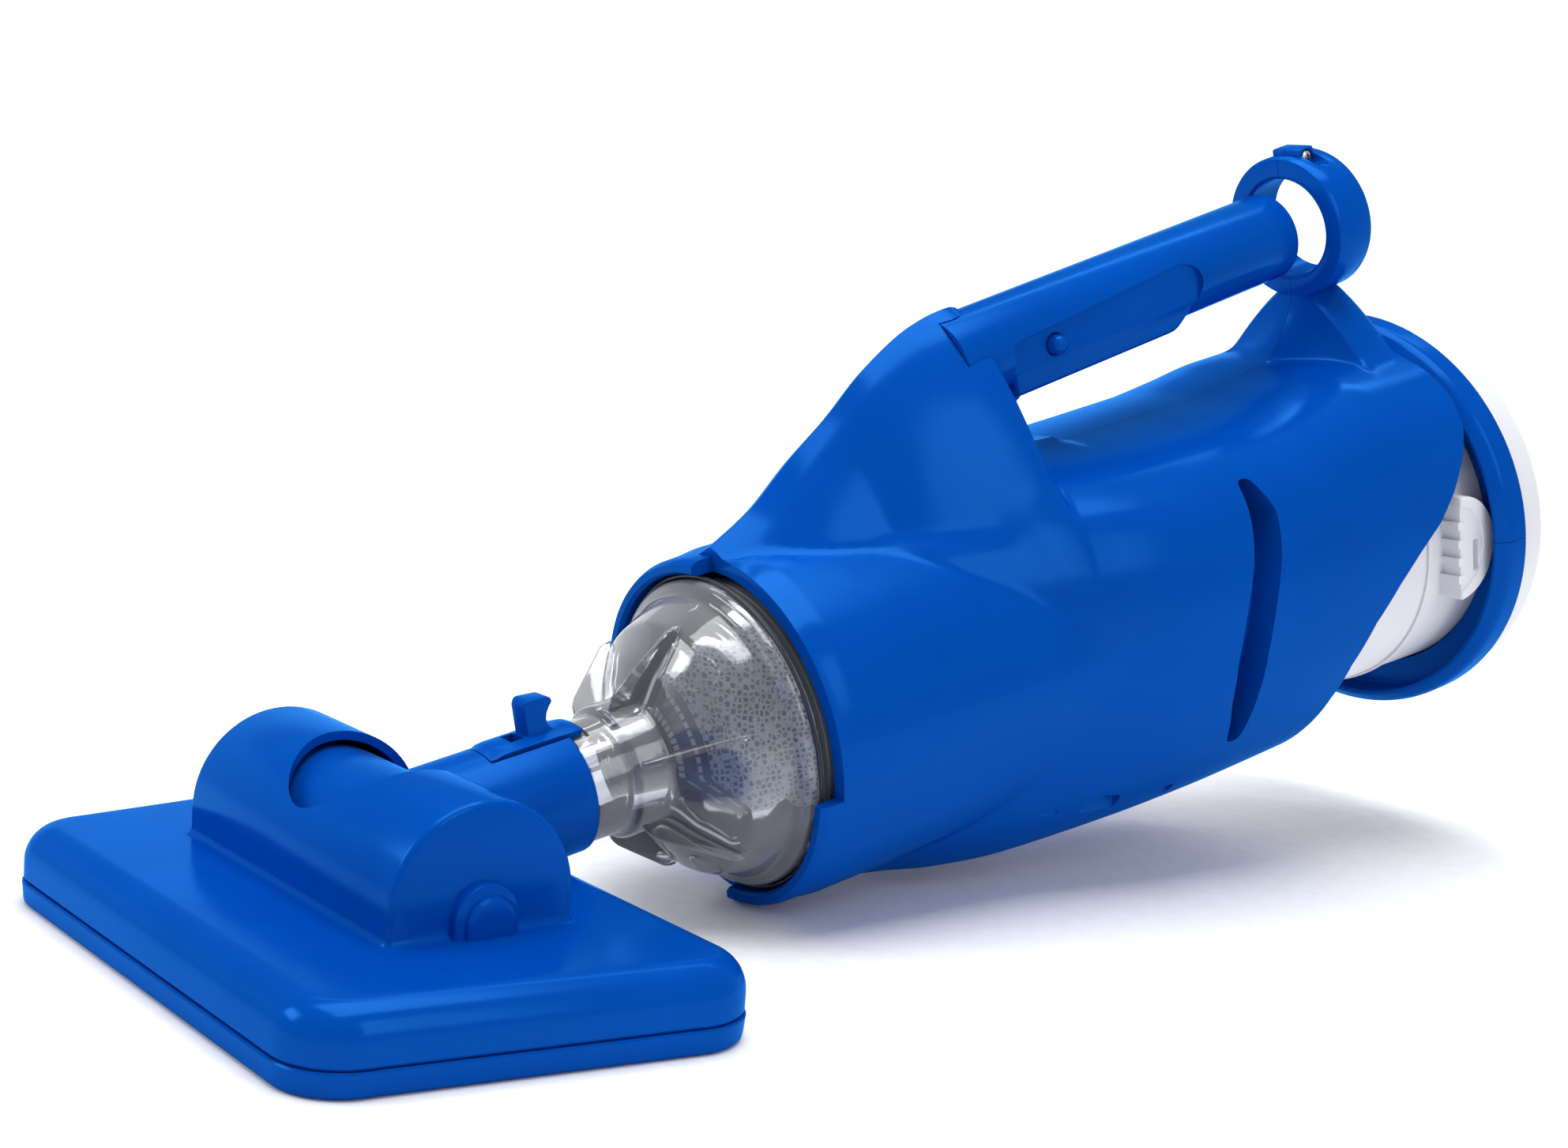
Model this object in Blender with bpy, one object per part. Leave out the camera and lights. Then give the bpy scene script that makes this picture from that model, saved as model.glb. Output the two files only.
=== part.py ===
"""Hand-held cordless pool vacuum: pivoting vac head, clear nose, clam-shell housing, sealed motor unit.

Sizes are millimetres in this file and become metres when a mesh is made. Row frame: +Z up, the
vac head faces -Y, its sole is z = 0 and the origin is the middle of the sole. Everything behind
the pivot is drawn in the body frame: x across, s along the body axis to the rear, h up from it.
"""
import math

import bmesh
import bpy
from mathutils import Matrix, Vector

MM = 0.001
GAP = 0.3                       # gap between neighbouring pieces

# Body axis: it leaves the head AXIS_RISE above the sole and climbs to the rear.
TILT = 12.2
AXIS_RISE = 25.5

# Vac head
HEAD_HALF_WIDTH = 94.8          # at the middle of its depth
HEAD_HALF_DEPTH = 58.9
HEAD_TAPER = 0.142              # the sides widen towards the rear by this much per mm
HEAD_TOP = 21.0
HEAD_CORNER = 17.8
BASE_TOP = 6.5
PIVOT_Y = 4.3
PIVOT_Z = 28.3
BARREL_R = 25.5
BARREL_HALF = 54.3
HEAD_WALL = 2.2
NOTCH_R = 22.0                  # round front end of the slot that the neck swings through
SLOT_REACH = 32.0               # the slot runs this far behind the pivot
LUG_HALF = 57.6
LUG_R = 8.8
LUG_Z = 25.3
TEE_R = 21.3
TEE_HALF = 51.4
TRUNNION_R = 5.0
BRUSH_Y = 41.0
BRUSH_HALF = 66.0

PLATE_EDGE = [(0.3, 6.8), (0.5, 12.0), (1.4, 15.6), (3.3, 18.5), (6.0, 20.3), (9.5, HEAD_TOP)]
HEAD_SCREWS = [(70.0, -44.0), (-70.0, -44.0), (80.0, 44.0), (-80.0, 44.0)]
BOSS_R = 4.0
PILOT_R = 1.9
WINDOW_X = (8.0, 72.0)          # suction windows in the sole, each side of the middle
WINDOW_HALF_Y = 17.0

# Neck and nose
NECK_R = 17.85
NECK_BORE = 15.8
NECK_END = 62.4
LATCH_ROOT = 38.0
LATCH_TIP = 67.4
LATCH_HALF = 6.6
FIN = [(52.0, 17.0), (51.6, 26.5), (52.6, 28.2), (59.6, 27.4), (60.4, 25.8), (58.4, 22.5), (59.0, 19.5),
       (61.5, 17.0)]
FIN_HALF = 3.3
SPIGOT_R = 15.5
SPIGOT_START = 42.0
TUBE_R = 16.4
COLLAR_CLEAR_R = 18.8           # short collar of the nose in front of the flare
RIM_R = 44.6
RIM_S = 112.0
NOSE_REAR = 116.8
RIB_COUNT = 6
SEAT_S = 61.0                   # rear face of the ring that the flap closes on
FLAP_S = SEAT_S + GAP + 0.7
FLAP_R = 11.4
FLAP_HINGE_H = 11.6

# Housing
MOUTH_S = 118.6                 # edge of the mouth where it is cut back
LIP_S = 111.4                   # front of the two bayonet lips
MOUTH_R = 46.5
SHELL_WALL = 2.4
ARCH_S = 217.6                  # rear face of the arch that holds the grip
SHELL_REAR = 380.6
CYL_R = 51.6                    # front barrel of the housing
GRIP_R = 14.0
GRIP_WALL = 2.6
GRIP_FRONT = 206.0
GRIP_END = 351.5
GRIP_H = 92.0                   # height of the grip's axis at GRIP_S0
GRIP_S0 = 258.0
GRIP_SLOPE = 5.9
COLLAR_FRONT = 360.0
COLLAR_REAR = 376.0
COLLAR_R = 23.5
COLLAR_HOLE = 16.4
# behind the arch, under the grip
GRIP_WEB = [(-36.0, -12.0), (-36.0, -18.6), (-26.0, -18.0), (-16.0, -12.0)]
BUTTON_S = 241.7
BUTTON_R = 3.0

# Motor unit
CASE_FRONT = 264.0
CASE_REAR = 393.2
CASE_R0 = 49.4
CASE_R1 = 54.3
CASE_WALL = 2.6
LUG_S = 370.0                   # side lugs of the case, half discs
SIDE_LUG_R = 17.3
RING_FRONT = 381.6
RING_REAR = 393.0
RING_R = 68.2
RING_INNER = 63.4
CAP_REAR = 410.4
CAP_R = 66.0
IMPELLER_R = 34.0
IMPELLER_S = 246.0
MOTOR_R = 18.0
CELL_R = 9.2
CELL_LENGTH = 65.0
CELL_ORBIT = 33.0


# ---------------------------------------------------------------- small helpers

def deg(angle):
    return math.radians(angle)


BODY = Matrix.Translation((0, 0, AXIS_RISE * MM)) @ Matrix.Rotation(deg(TILT), 4, 'X')
WORLD = Matrix.Identity(4)


def grip_height(s):
    return GRIP_H + (s - GRIP_S0) * math.tan(deg(GRIP_SLOPE))


GRIP = BODY @ Matrix.Translation((0, GRIP_S0 * MM, GRIP_H * MM)) @ Matrix.Rotation(deg(GRIP_SLOPE), 4, 'X')


def polyline(table, value):
    """Read the value at a position from a short list of (position, value) pairs."""
    if value <= table[0][0]:
        return table[0][1]
    for (a, va), (b, vb) in zip(table, table[1:]):
        if value <= b:
            t = (value - a) / (b - a)
            return va + (vb - va) * t
    return table[-1][1]


def circle(radius, count, start=0.0, sweep=360.0):
    steps = count if sweep >= 360.0 else count - 1
    return [(radius * math.cos(deg(start + sweep * i / steps)),
             radius * math.sin(deg(start + sweep * i / steps))) for i in range(count)]


def material(name, colour, roughness, metallic=0.0, alpha=1.0):
    mat = bpy.data.materials.get(name) or bpy.data.materials.new(name)
    mat.use_nodes = True
    shader = mat.node_tree.nodes["Principled BSDF"]
    shader.inputs["Base Color"].default_value = (*colour, 1.0)
    shader.inputs["Roughness"].default_value = roughness
    shader.inputs["Metallic"].default_value = metallic
    shader.inputs["Alpha"].default_value = alpha
    return mat


def make_materials():
    return {
        "blue": material("blue_abs", (0.0, 0.09, 0.55), 0.22),
        "white": material("white_abs", (0.8, 0.8, 0.8), 0.4),
        "clear": material("clear_polycarbonate", (0.75, 0.77, 0.82), 0.08, 0.0, 0.35),
        "black": material("black_rubber", (0.02, 0.02, 0.02), 0.6),
        "cloth": material("filter_cloth", (0.05, 0.05, 0.06), 0.9),
        "steel": material("stainless_steel", (0.6, 0.6, 0.6), 0.3, 1.0),
        "grey": material("grey_plastic", (0.35, 0.35, 0.36), 0.5),
        "board": material("circuit_board", (0.02, 0.15, 0.05), 0.5),
        "bristle": material("nylon_bristle", (0.75, 0.75, 0.72), 0.8),
    }


def empty(name, matrix, parent=None):
    obj = bpy.data.objects.new(name, None)
    obj.empty_display_size = 0.01
    bpy.context.scene.collection.objects.link(obj)
    obj.parent = parent
    obj.matrix_world = matrix
    return obj


def is_flat(face):
    """True when a four-sided face lies in one plane."""
    a, b, c, d = [v.co for v in face.verts]
    normal = (b - a).cross(c - a)
    return abs(normal.dot(d - a)) < 1e-7 * normal.length


def mesh_object(name, points, faces, frame=BODY):
    """A loose object from millimetre points in the given frame; normals are made to face out."""
    bm = bmesh.new()
    verts = [bm.verts.new(frame @ (Vector(p) * MM)) for p in points]
    for face in faces:
        bm.faces.new([verts[i] for i in face])
    bmesh.ops.recalc_face_normals(bm, faces=bm.faces)
    bmesh.ops.triangulate(bm, faces=[f for f in bm.faces if len(f.verts) == 4 and not is_flat(f)])
    mesh = bpy.data.meshes.new(name)
    bm.to_mesh(mesh)
    bm.free()
    obj = bpy.data.objects.new(name, mesh)
    bpy.context.scene.collection.objects.link(obj)
    return obj


def loft(name, rings, frame=BODY, closed=False):
    """Skin equal rings of points; end rings become caps unless the skin closes on itself."""
    n = len(rings[0])
    points = [p for ring in rings for p in ring]
    faces = []
    spans = len(rings) if closed else len(rings) - 1
    for k in range(spans):
        a, b = k * n, ((k + 1) % len(rings)) * n
        faces += [(a + i, a + (i + 1) % n, b + (i + 1) % n, b + i) for i in range(n)]
    if not closed:
        faces.append(tuple(range(n)))
        faces.append(tuple(range((len(rings) - 1) * n, len(rings) * n)))
    return mesh_object(name, points, faces, frame)


def turn(name, profile, count=32, centre=(0.0, 0.0), frame=BODY, closed=True):
    """Turn (s, r) points about an axis along s through centre (x, h)."""
    rings = [[(centre[0] + x, s, centre[1] + h) for x, h in circle(r, count)] for s, r in profile]
    return loft(name, rings, frame, closed)


def rod(name, s0, s1, radius, count=24, centre=(0.0, 0.0), frame=BODY):
    return turn(name, [(s0, radius), (s1, radius)], count, centre, frame, closed=False)


def cross_rod(name, x0, x1, radius, s, h, count=20, frame=BODY):
    """A rod along x through (s, h)."""
    rings = [[(x, s + a, h + b) for a, b in circle(radius, count)] for x in (x0, x1)]
    return loft(name, rings, frame)


def pillar(name, x, y, z0, z1, radius, count):
    """An upright rod in the row frame."""
    return loft(name, [[(x + a, y + b, z) for a, b in circle(radius, count)] for z in (z0, z1)], WORLD)


def side_prism(name, outline, x0, x1, frame=BODY):
    """Extrude a side-view outline of (s, h) points across x."""
    return loft(name, [[(x, s, h) for s, h in outline] for x in (x0, x1)], frame)


def box(name, low, high, frame=BODY):
    (x0, y0, z0), (x1, y1, z1) = low, high
    ring = [(x0, y0), (x1, y0), (x1, y1), (x0, y1)]
    return loft(name, [[(x, y, z) for x, y in ring] for z in (z0, z1)], frame)


def boolean(obj, other, operation, solver='EXACT'):
    """Cut, join or intersect obj with other, which is used up."""
    mod = obj.modifiers.new(operation.lower(), 'BOOLEAN')
    mod.operation = operation
    mod.solver = solver
    mod.object = other
    bpy.context.view_layer.update()
    result = bpy.data.meshes.new_from_object(obj.evaluated_get(bpy.context.evaluated_depsgraph_get()))
    obj.modifiers.clear()
    obj.data = result
    bpy.data.objects.remove(other, do_unlink=True)
    return obj


def cut(obj, *tools):
    for tool in tools:
        boolean(obj, tool, 'DIFFERENCE')
    return obj


def add(obj, *others):
    for other in others:
        boolean(obj, other, 'UNION')
    return obj


def finish(obj, mat, parent, flatten=True):
    """Clean the mesh, shade it, give it its material and hang it on its parent's origin."""
    bm = bmesh.new()
    bm.from_mesh(obj.data)
    bmesh.ops.remove_doubles(bm, verts=bm.verts, dist=0.00001)
    bmesh.ops.dissolve_degenerate(bm, edges=bm.edges, dist=0.00001)
    if flatten:
        bmesh.ops.dissolve_limit(bm, angle_limit=deg(0.4), verts=bm.verts, edges=bm.edges)
    bmesh.ops.triangulate(bm, faces=bm.faces)
    bm.to_mesh(obj.data)
    bm.free()
    obj.data.transform(parent.matrix_world.inverted())
    obj.parent = parent
    obj.matrix_parent_inverse = Matrix.Identity(4)
    obj.data.materials.clear()
    obj.data.materials.append(mat)
    obj.data.shade_smooth()
    obj.data.set_sharp_from_angle(angle=deg(32))
    return obj


# ---------------------------------------------------------------- vac head

def head_outline(inset, z, per_corner=5):
    """Rounded trapezoid, wider at the rear, moved in by inset."""
    ring = []
    radius = max(HEAD_CORNER - inset, 1.0)
    half_depth = HEAD_HALF_DEPTH - inset
    for sx, sy, start in ((1, -1, -90), (1, 1, 0), (-1, 1, 90), (-1, -1, 180)):
        cy = sy * (half_depth - radius)
        side = HEAD_HALF_WIDTH - inset * math.hypot(1, HEAD_TAPER) + HEAD_TAPER * cy
        cx = sx * (side - radius * math.hypot(1, HEAD_TAPER))
        for i in range(per_corner):
            a = deg(start + 90.0 * i / (per_corner - 1))
            ring.append((cx + radius * math.cos(a), cy + radius * math.sin(a), z))
    return ring


def barrel_section(radius, x, foot, count=15):
    """Arch section across y and z: a half circle on straight sides that stand on foot."""
    arch = [(x, PIVOT_Y + a, PIVOT_Z + b) for a, b in circle(radius, count, 0, 180)]
    return [(x, PIVOT_Y + radius, foot)] + arch + [(x, PIVOT_Y - radius, foot)]


def lug_section(radius, x, foot):
    arch = [(x, PIVOT_Y + a, LUG_Z + b) for a, b in circle(radius, 11, 0, 180)]
    return [(x, PIVOT_Y + radius, foot)] + arch + [(x, PIVOT_Y - radius, foot)]


def head_cover(mats, parent):
    cover = loft("head_cover", [head_outline(inset, z) for inset, z in PLATE_EDGE], WORLD)
    ends = ((-BARREL_HALF, -1.3), (-BARREL_HALF + 1.4, 0), (BARREL_HALF - 1.4, 0), (BARREL_HALF, -1.3))
    barrel = loft("barrel", [barrel_section(BARREL_R + grow, x, 15.0) for x, grow in ends], WORLD)
    lug_steps = ((30.0, LUG_R), (LUG_HALF - 1.6, LUG_R), (LUG_HALF, LUG_R - 1.6))
    lugs = [loft("lug", [lug_section(r, x * sx, 14.0) for x, r in lug_steps], WORLD) for sx in (-1, 1)]
    add(cover, barrel, *lugs)
    cavity = loft("cavity", [head_outline(HEAD_WALL + 0.6, 2.0), head_outline(HEAD_WALL + 0.6, 13.0),
                             head_outline(7.0, HEAD_TOP - HEAD_WALL)], WORLD)
    cut(cavity, rod("trough_wall", 0.0, 80.0, NECK_R + 3.4, 28))
    barrel_room = loft("barrel_room", [barrel_section(BARREL_R - HEAD_WALL - 0.2, x, 2.0)
                                       for x in (HEAD_WALL - BARREL_HALF, BARREL_HALF - HEAD_WALL)], WORLD)
    add(cavity, barrel_room)
    cut(cover, cavity)
    # slot that the neck swings through, and the trough it lies in
    front_round = [(a, PIVOT_Y + b) for a, b in circle(NOTCH_R, 17, 180, 180)]
    slot_plan = [(-NOTCH_R, PIVOT_Y + SLOT_REACH)] + front_round + [(NOTCH_R, PIVOT_Y + SLOT_REACH)]
    slot = loft("slot", [[(x, y, z) for x, y in slot_plan] for z in (HEAD_TOP + 0.4, 60.0)], WORLD)
    cut(cover, slot, rod("trough", 2.0, 80.0, NECK_R + 1.2, 28))
    for sx in (-1, 1):
        cut(cover, cross_rod("trunnion_hole", 40.0 * sx, (LUG_HALF - 1.2) * sx, TRUNNION_R + 0.35,
                             PIVOT_Y, PIVOT_Z, 16, WORLD))
    for x, y in HEAD_SCREWS:
        add(cover, pillar("boss", x, y, BASE_TOP + GAP, 19.6, BOSS_R, 12))
        cut(cover, pillar("hole", x, y, 0.0, 17.0, PILOT_R, 10))
    return finish(cover, mats["blue"], parent)


def head_base(mats, parent):
    base = loft("head_base", [head_outline(1.4, 0.0), head_outline(0.4, 1.2), head_outline(0.0, BASE_TOP)],
                WORLD)
    for sx in (-1, 1):
        x0, x1 = sorted((WINDOW_X[0] * sx, WINDOW_X[1] * sx))
        cut(base, box("window", (x0, -WINDOW_HALF_Y, -5.0), (x1, WINDOW_HALF_Y, 10.0), WORLD))
    for sy in (-1, 1):
        cut(base, box("brush_groove", (-BRUSH_HALF - GAP, sy * BRUSH_Y - 3.5, -2.0),
                      (BRUSH_HALF + GAP, sy * BRUSH_Y + 3.5, 4.6), WORLD))
    for x, y in HEAD_SCREWS:
        cut(base, pillar("recess", x, y, -1.0, 3.2, BOSS_R - 0.1, 12),
            pillar("hole", x, y, 2.0, 9.0, PILOT_R, 10))
    return finish(base, mats["blue"], parent)


def brush_strips(mats, parent):
    for name, sy in (("brush_strip_front", -1), ("brush_strip_rear", 1)):
        strip = box(name, (-BRUSH_HALF, sy * BRUSH_Y - 3.1, 0.4), (BRUSH_HALF, sy * BRUSH_Y + 3.1, 4.2),
                    WORLD)
        finish(strip, mats["bristle"], parent)


def screw(name, mats, parent, matrix, length, head_r=3.2, shank_r=1.5, head_h=1.8, slot=False):
    """Screw along local +Z from its tip at 0 to the top of its head at length."""
    rings = [(0.0, shank_r), (length - head_h, shank_r), (length - head_h, head_r), (length, head_r * 0.86)]
    obj = loft(name, [[(x, y, z) for x, y in circle(r, 10)] for z, r in rings], matrix)
    if slot:
        for a, b in ((head_r * 0.6, 0.45), (0.45, head_r * 0.6)):
            cut(obj, box("cross", (-a, -b, length - 0.8), (a, b, length + 1.0), matrix))
    return finish(obj, mats["steel"], parent)


def head_screws(mats, parent):
    for i, (x, y) in enumerate(HEAD_SCREWS):
        matrix = Matrix.Translation((x * MM, y * MM, 15.0 * MM)) @ Matrix.Rotation(math.pi, 4, 'X')
        screw(f"head_screw_{i + 1}", mats, parent, matrix, 14.2)


# ---------------------------------------------------------------- neck and latch

def neck_tube(mats, parent):
    pivot = (PIVOT_Y, PIVOT_Z)

    def across(name, x0, x1, radius, count=28):
        return cross_rod(name, x0, x1, radius, pivot[0], pivot[1], count, WORLD)

    neck = across("neck_tube", -TEE_HALF, TEE_HALF, TEE_R)
    add(neck, rod("tube", 2.0, NECK_END, NECK_R, 32))
    for sx in (-1, 1):
        add(neck, across("trunnion", (TEE_HALF - 3.0) * sx, (LUG_HALF - 1.8) * sx, TRUNNION_R, 16))
    cut(neck, across("tee_bore", 2.4 - TEE_HALF, TEE_HALF - 2.4, TEE_R - 2.4))
    cut(neck, rod("bore", 0.0, 80.0, NECK_BORE, 32))
    # the tee is open underneath, where the water comes up from the sole
    cut(neck, box("mouth", (-44.0, PIVOT_Y - 12.0, 2.0), (44.0, PIVOT_Y + 12.0, PIVOT_Z - 8.0), WORLD))
    cut(neck, box("latch_slot", (-LATCH_HALF - 0.9, LATCH_ROOT - 0.4, 6.0), (LATCH_HALF + 0.9, 80.0, 30.0)))
    return finish(neck, mats["blue"], parent)


def latch_tongue(mats, parent):
    """Springy tongue on top of the neck: its root is joined to the neck, its tip carries the thumb fin."""
    half = math.degrees(math.asin(LATCH_HALF / NECK_R))
    count = 7
    outer = circle(NECK_R + 0.2, count, 90 - half, 2 * half)
    section = outer + circle(NECK_BORE + 0.2, count, 90 + half, -2 * half)
    tongue = loft("latch_tongue", [[(a, s, b) for a, b in section] for s in (LATCH_ROOT, LATCH_TIP)])
    add(tongue, side_prism("fin", FIN, -FIN_HALF, FIN_HALF))
    cut(tongue, box("window", (-3.0, 46.6, 10.0), (3.0, 50.6, 30.0)))
    return finish(tongue, mats["blue"], parent)


# ---------------------------------------------------------------- clear nose, valve and filter

NOSE_OUTER = [(SPIGOT_START, SPIGOT_R), (NECK_END + 0.6, SPIGOT_R), (NECK_END + 0.6, TUBE_R),
              (75.0, TUBE_R + 0.2),
              (75.6, COLLAR_CLEAR_R), (86.4, COLLAR_CLEAR_R), (88.0, 21.0), (92.0, 27.6), (99.0,
                                                                                           36.2), (106.5,
                                                                                                   39.4),
              (RIM_S - 1.0, 40.9), (RIM_S, RIM_R), (NOSE_REAR, RIM_R)]
NOSE_INNER = [(NOSE_REAR, 41.6), (110.5, 38.6), (105.6, 37.2), (98.0, 33.6), (91.4, 24.8), (88.2, 18.6),
              (86.6, 16.8), (74.0, 14.9), (SPIGOT_START, 13.4)]


def nose_cone(mats, parent):
    nose = turn("nose_cone", NOSE_OUTER + NOSE_INNER, 28)
    for i in range(RIB_COUNT):
        turned = BODY @ Matrix.Rotation(deg(360.0 * i / RIB_COUNT + 12.0), 4, 'Y')
        rib = side_prism("rib", [(77.0, 17.6), (77.6, 21.4), (80.0, 24.6), (96.0, 37.2), (100.0, 37.7),
                                 (98.4, 34.4), (91.4, 25.6), (87.6, 19.6), (86.0, 17.6)], -0.8, 0.8, turned)
        add(nose, rib)
    key = box("latch_key", (-LATCH_HALF - 0.7, NECK_END - 0.4, 10.0), (LATCH_HALF + 0.7, 68.2, 30.0))
    cut(key, rod("keep_wall", 50.0, 80.0, SPIGOT_R + 0.1, 32))
    cut(nose, key)
    return finish(nose, mats["clear"], parent)


def valve_seat(mats, parent):
    """Ring that the flap closes on, with two cheeks for the flap's hinge."""
    seat = turn("valve_seat", [(SEAT_S - 1.6, 14.0), (SEAT_S, 14.0), (SEAT_S, 9.6), (SEAT_S - 1.6, 9.6)],
                24)
    for sx in (-1, 1):
        x0, x1 = sorted((5.4 * sx, 6.6 * sx))
        add(seat, box("cheek", (x0, SEAT_S - 0.8, 11.1), (x1, SEAT_S + 1.9, 12.2)))
    return finish(seat, mats["white"], parent)


def flap_valve(mats, parent):
    flap = rod("flap_valve", FLAP_S - 0.7, FLAP_S + 0.7, FLAP_R, 24)
    add(flap, cross_rod("hinge", -5.0, 5.0, 0.9, FLAP_S, FLAP_HINGE_H, 10))
    return finish(flap, mats["white"], parent)


def nose_seal(mats, parent):
    ring = [(115.0 + a, RIM_R + 0.85 + b) for a, b in circle(0.55, 6)]
    return finish(turn("nose_o_ring", ring, 40), mats["black"], parent)


BAG_OUTER = [(89.5, 10.0), (90.2, 16.0), (93.5, 23.0), (99.0, 30.0), (105.0, 34.0), (111.0, 35.8),
             (119.0, 38.4)]


def filter_parts(mats, parent):
    inner = [(s + 0.9, r - 1.3) for s, r in reversed(BAG_OUTER)]
    inner[0] = (119.0, 37.1)
    profile = BAG_OUTER + inner + [(91.0, 1.2), (89.5, 1.2)]
    finish(turn("filter_bag", profile, 24), mats["cloth"], parent)
    frame = turn("filter_frame", [(119.4, 43.4), (123.4, 43.4), (123.4, 36.0), (119.4, 36.0)], 40)
    for angle, inset in ((45.0, 0.3), (135.0, 0.5)):
        turned = BODY @ Matrix.Rotation(deg(angle), 4, 'Y')
        add(frame, box("spoke", (-1.5, 119.4 + inset, -38.0), (1.5, 123.4 - inset, 38.0), turned))
    finish(frame, mats["white"], parent)


# ---------------------------------------------------------------- housing shells

HALF_WIDTH = [(118, 20.0), (131, 25.0), (160, 34.0), (175, 39.7), (193, 45.3), (206, 49.3), (222, 53.2),
              (248, 59.0),
              (275, 61.6), (310, 62.2), (345, 61.4), (385, 60.0)]
CROWN = [(118, 50.0), (222, 54.8), (250, 54.4), (310, 55.4), (332, 57.6), (350, 60.0), (385, 61.0)]
BELLY = [(118, 44.0), (136, 52.0), (160, 57.0), (180, 61.0), (200, 63.6), (228, 64.8), (262, 64.6),
         (385, 62.0)]
RIDGE = [(118, 53.2), (133.5, 60.7), (149, 72.0), (164, 81.6), (180, 93.0), (196, 100.6), (212, 103.6),
         (ARCH_S - 1.0, 104.2), (ARCH_S + 1.5, 58.0), (385, 50.0)]
POST = [(330, 50.0), (347, 58.0), (357, 66.0), (361.5, 74.0), (364, 85.0), (378.5, 85.0), (381, 80.0)]


def lobe(width, height, power, angle):
    c, s = abs(math.cos(angle)), abs(math.sin(angle))
    return ((c / width) ** power + (s / height) ** power) ** (-1.0 / power)


def shell_radius(s, angle):
    """Outer radius of the housing at station s, angle from +x towards +h."""
    width = polyline(HALF_WIDTH, s)
    up = math.sin(angle) > 0
    parts = [lobe(width, polyline(CROWN, s), 3.0, angle) if up else lobe(width, polyline(BELLY, s), 2.15,
                                                                         angle)]
    if s < 226.0:
        parts.append(CYL_R - max(0.0, 126.0 - s) * 0.12)
    if up and s < ARCH_S + 2.0:
        parts.append(lobe(max(width, 36.0), polyline(RIDGE, s), 1.35, angle))
    if up and s > 332.0:
        parts.append(lobe(width, polyline(POST, s), 1.3, angle))
    return max(parts)


QUARTER = [0, 16, 30, 43, 54, 64, 73, 82, 90]
INNER_QUARTER = [0, 22, 44, 62, 78, 90]
STATIONS = [MOUTH_S, 126, 133.5, 142, 151, 160, 170, 180, 190, 200, 210, ARCH_S - 1.0, ARCH_S + 1.5, 240,
            262, 290,
            318, 334, 345, 354, 361.5, 366, 378.5, SHELL_REAR + 3.0]
INNER_STATIONS = [126.6, 142, 160, 180, 200, ARCH_S - 3.5, ARCH_S - 1.0, 250, 300, 340, 360,
                  SHELL_REAR + 8.0]


def shell_skin(name, wall, stations, quarter):
    """The housing's outer form, or its inside when wall is more than zero."""
    upper = quarter + [180 - a for a in reversed(quarter[:-1])]
    lower = [180 + 180.0 * (i + 1) / (len(upper) // 2 + 2) for i in range(len(upper) // 2 + 1)]
    rings = []
    for s in stations:
        near = [s] if wall == 0 else [s - wall, s, s + wall]
        ring = []
        for a in upper + lower:
            r = min(shell_radius(k, deg(a)) for k in near) - wall
            ring.append((r * math.cos(deg(a)), s, r * math.sin(deg(a))))
        rings.append(ring)
    return loft(name, rings)


def lip_ring(name):
    """Front collar of the mouth; its two lips stand forward of MOUTH_S."""
    return turn(name, [(LIP_S, 49.4), (LIP_S + 2.0, 50.4), (127.0, 51.2)], 36, closed=False)


def crescent(name, sx):
    """Outlet slot in the side: a tall curved slit, widest in the middle."""
    left = [(277.0, 43.0), (275.0, 33.0), (271.5, 20.0), (267.0, 6.0), (263.0, -8.0), (262.0, -22.0),
            (265.0, -37.0)]
    right = [(270.5, -37.0), (273.0, -22.0), (275.5, -8.0), (279.5, 6.0), (283.5, 20.0), (286.0, 33.0),
             (282.0, 43.0)]
    return side_prism(name, left + right, 30.0 * sx, 80.0 * sx)


REAR_CUT = [(SHELL_REAR, 84.0), (SHELL_REAR, 47.0), (379.0, 38.0), (374.0, 29.0), (359.3, 12.0),
            (337.6, -3.0),
            (317.0, -25.0), (310.0, -48.0), (306.0, -80.0), (420.0, -80.0), (420.0, 84.0)]
HOUSING_SCREWS = [(150.0, 57.0), (186.0, 82.0), (371.0, 70.0)]
DRAINS = [(195.0, 207.0), (216.0, 230.0), (238.0, 253.0)]   # thin slots low on each flank
DRAIN_X = (36.5, 41.5)


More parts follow.
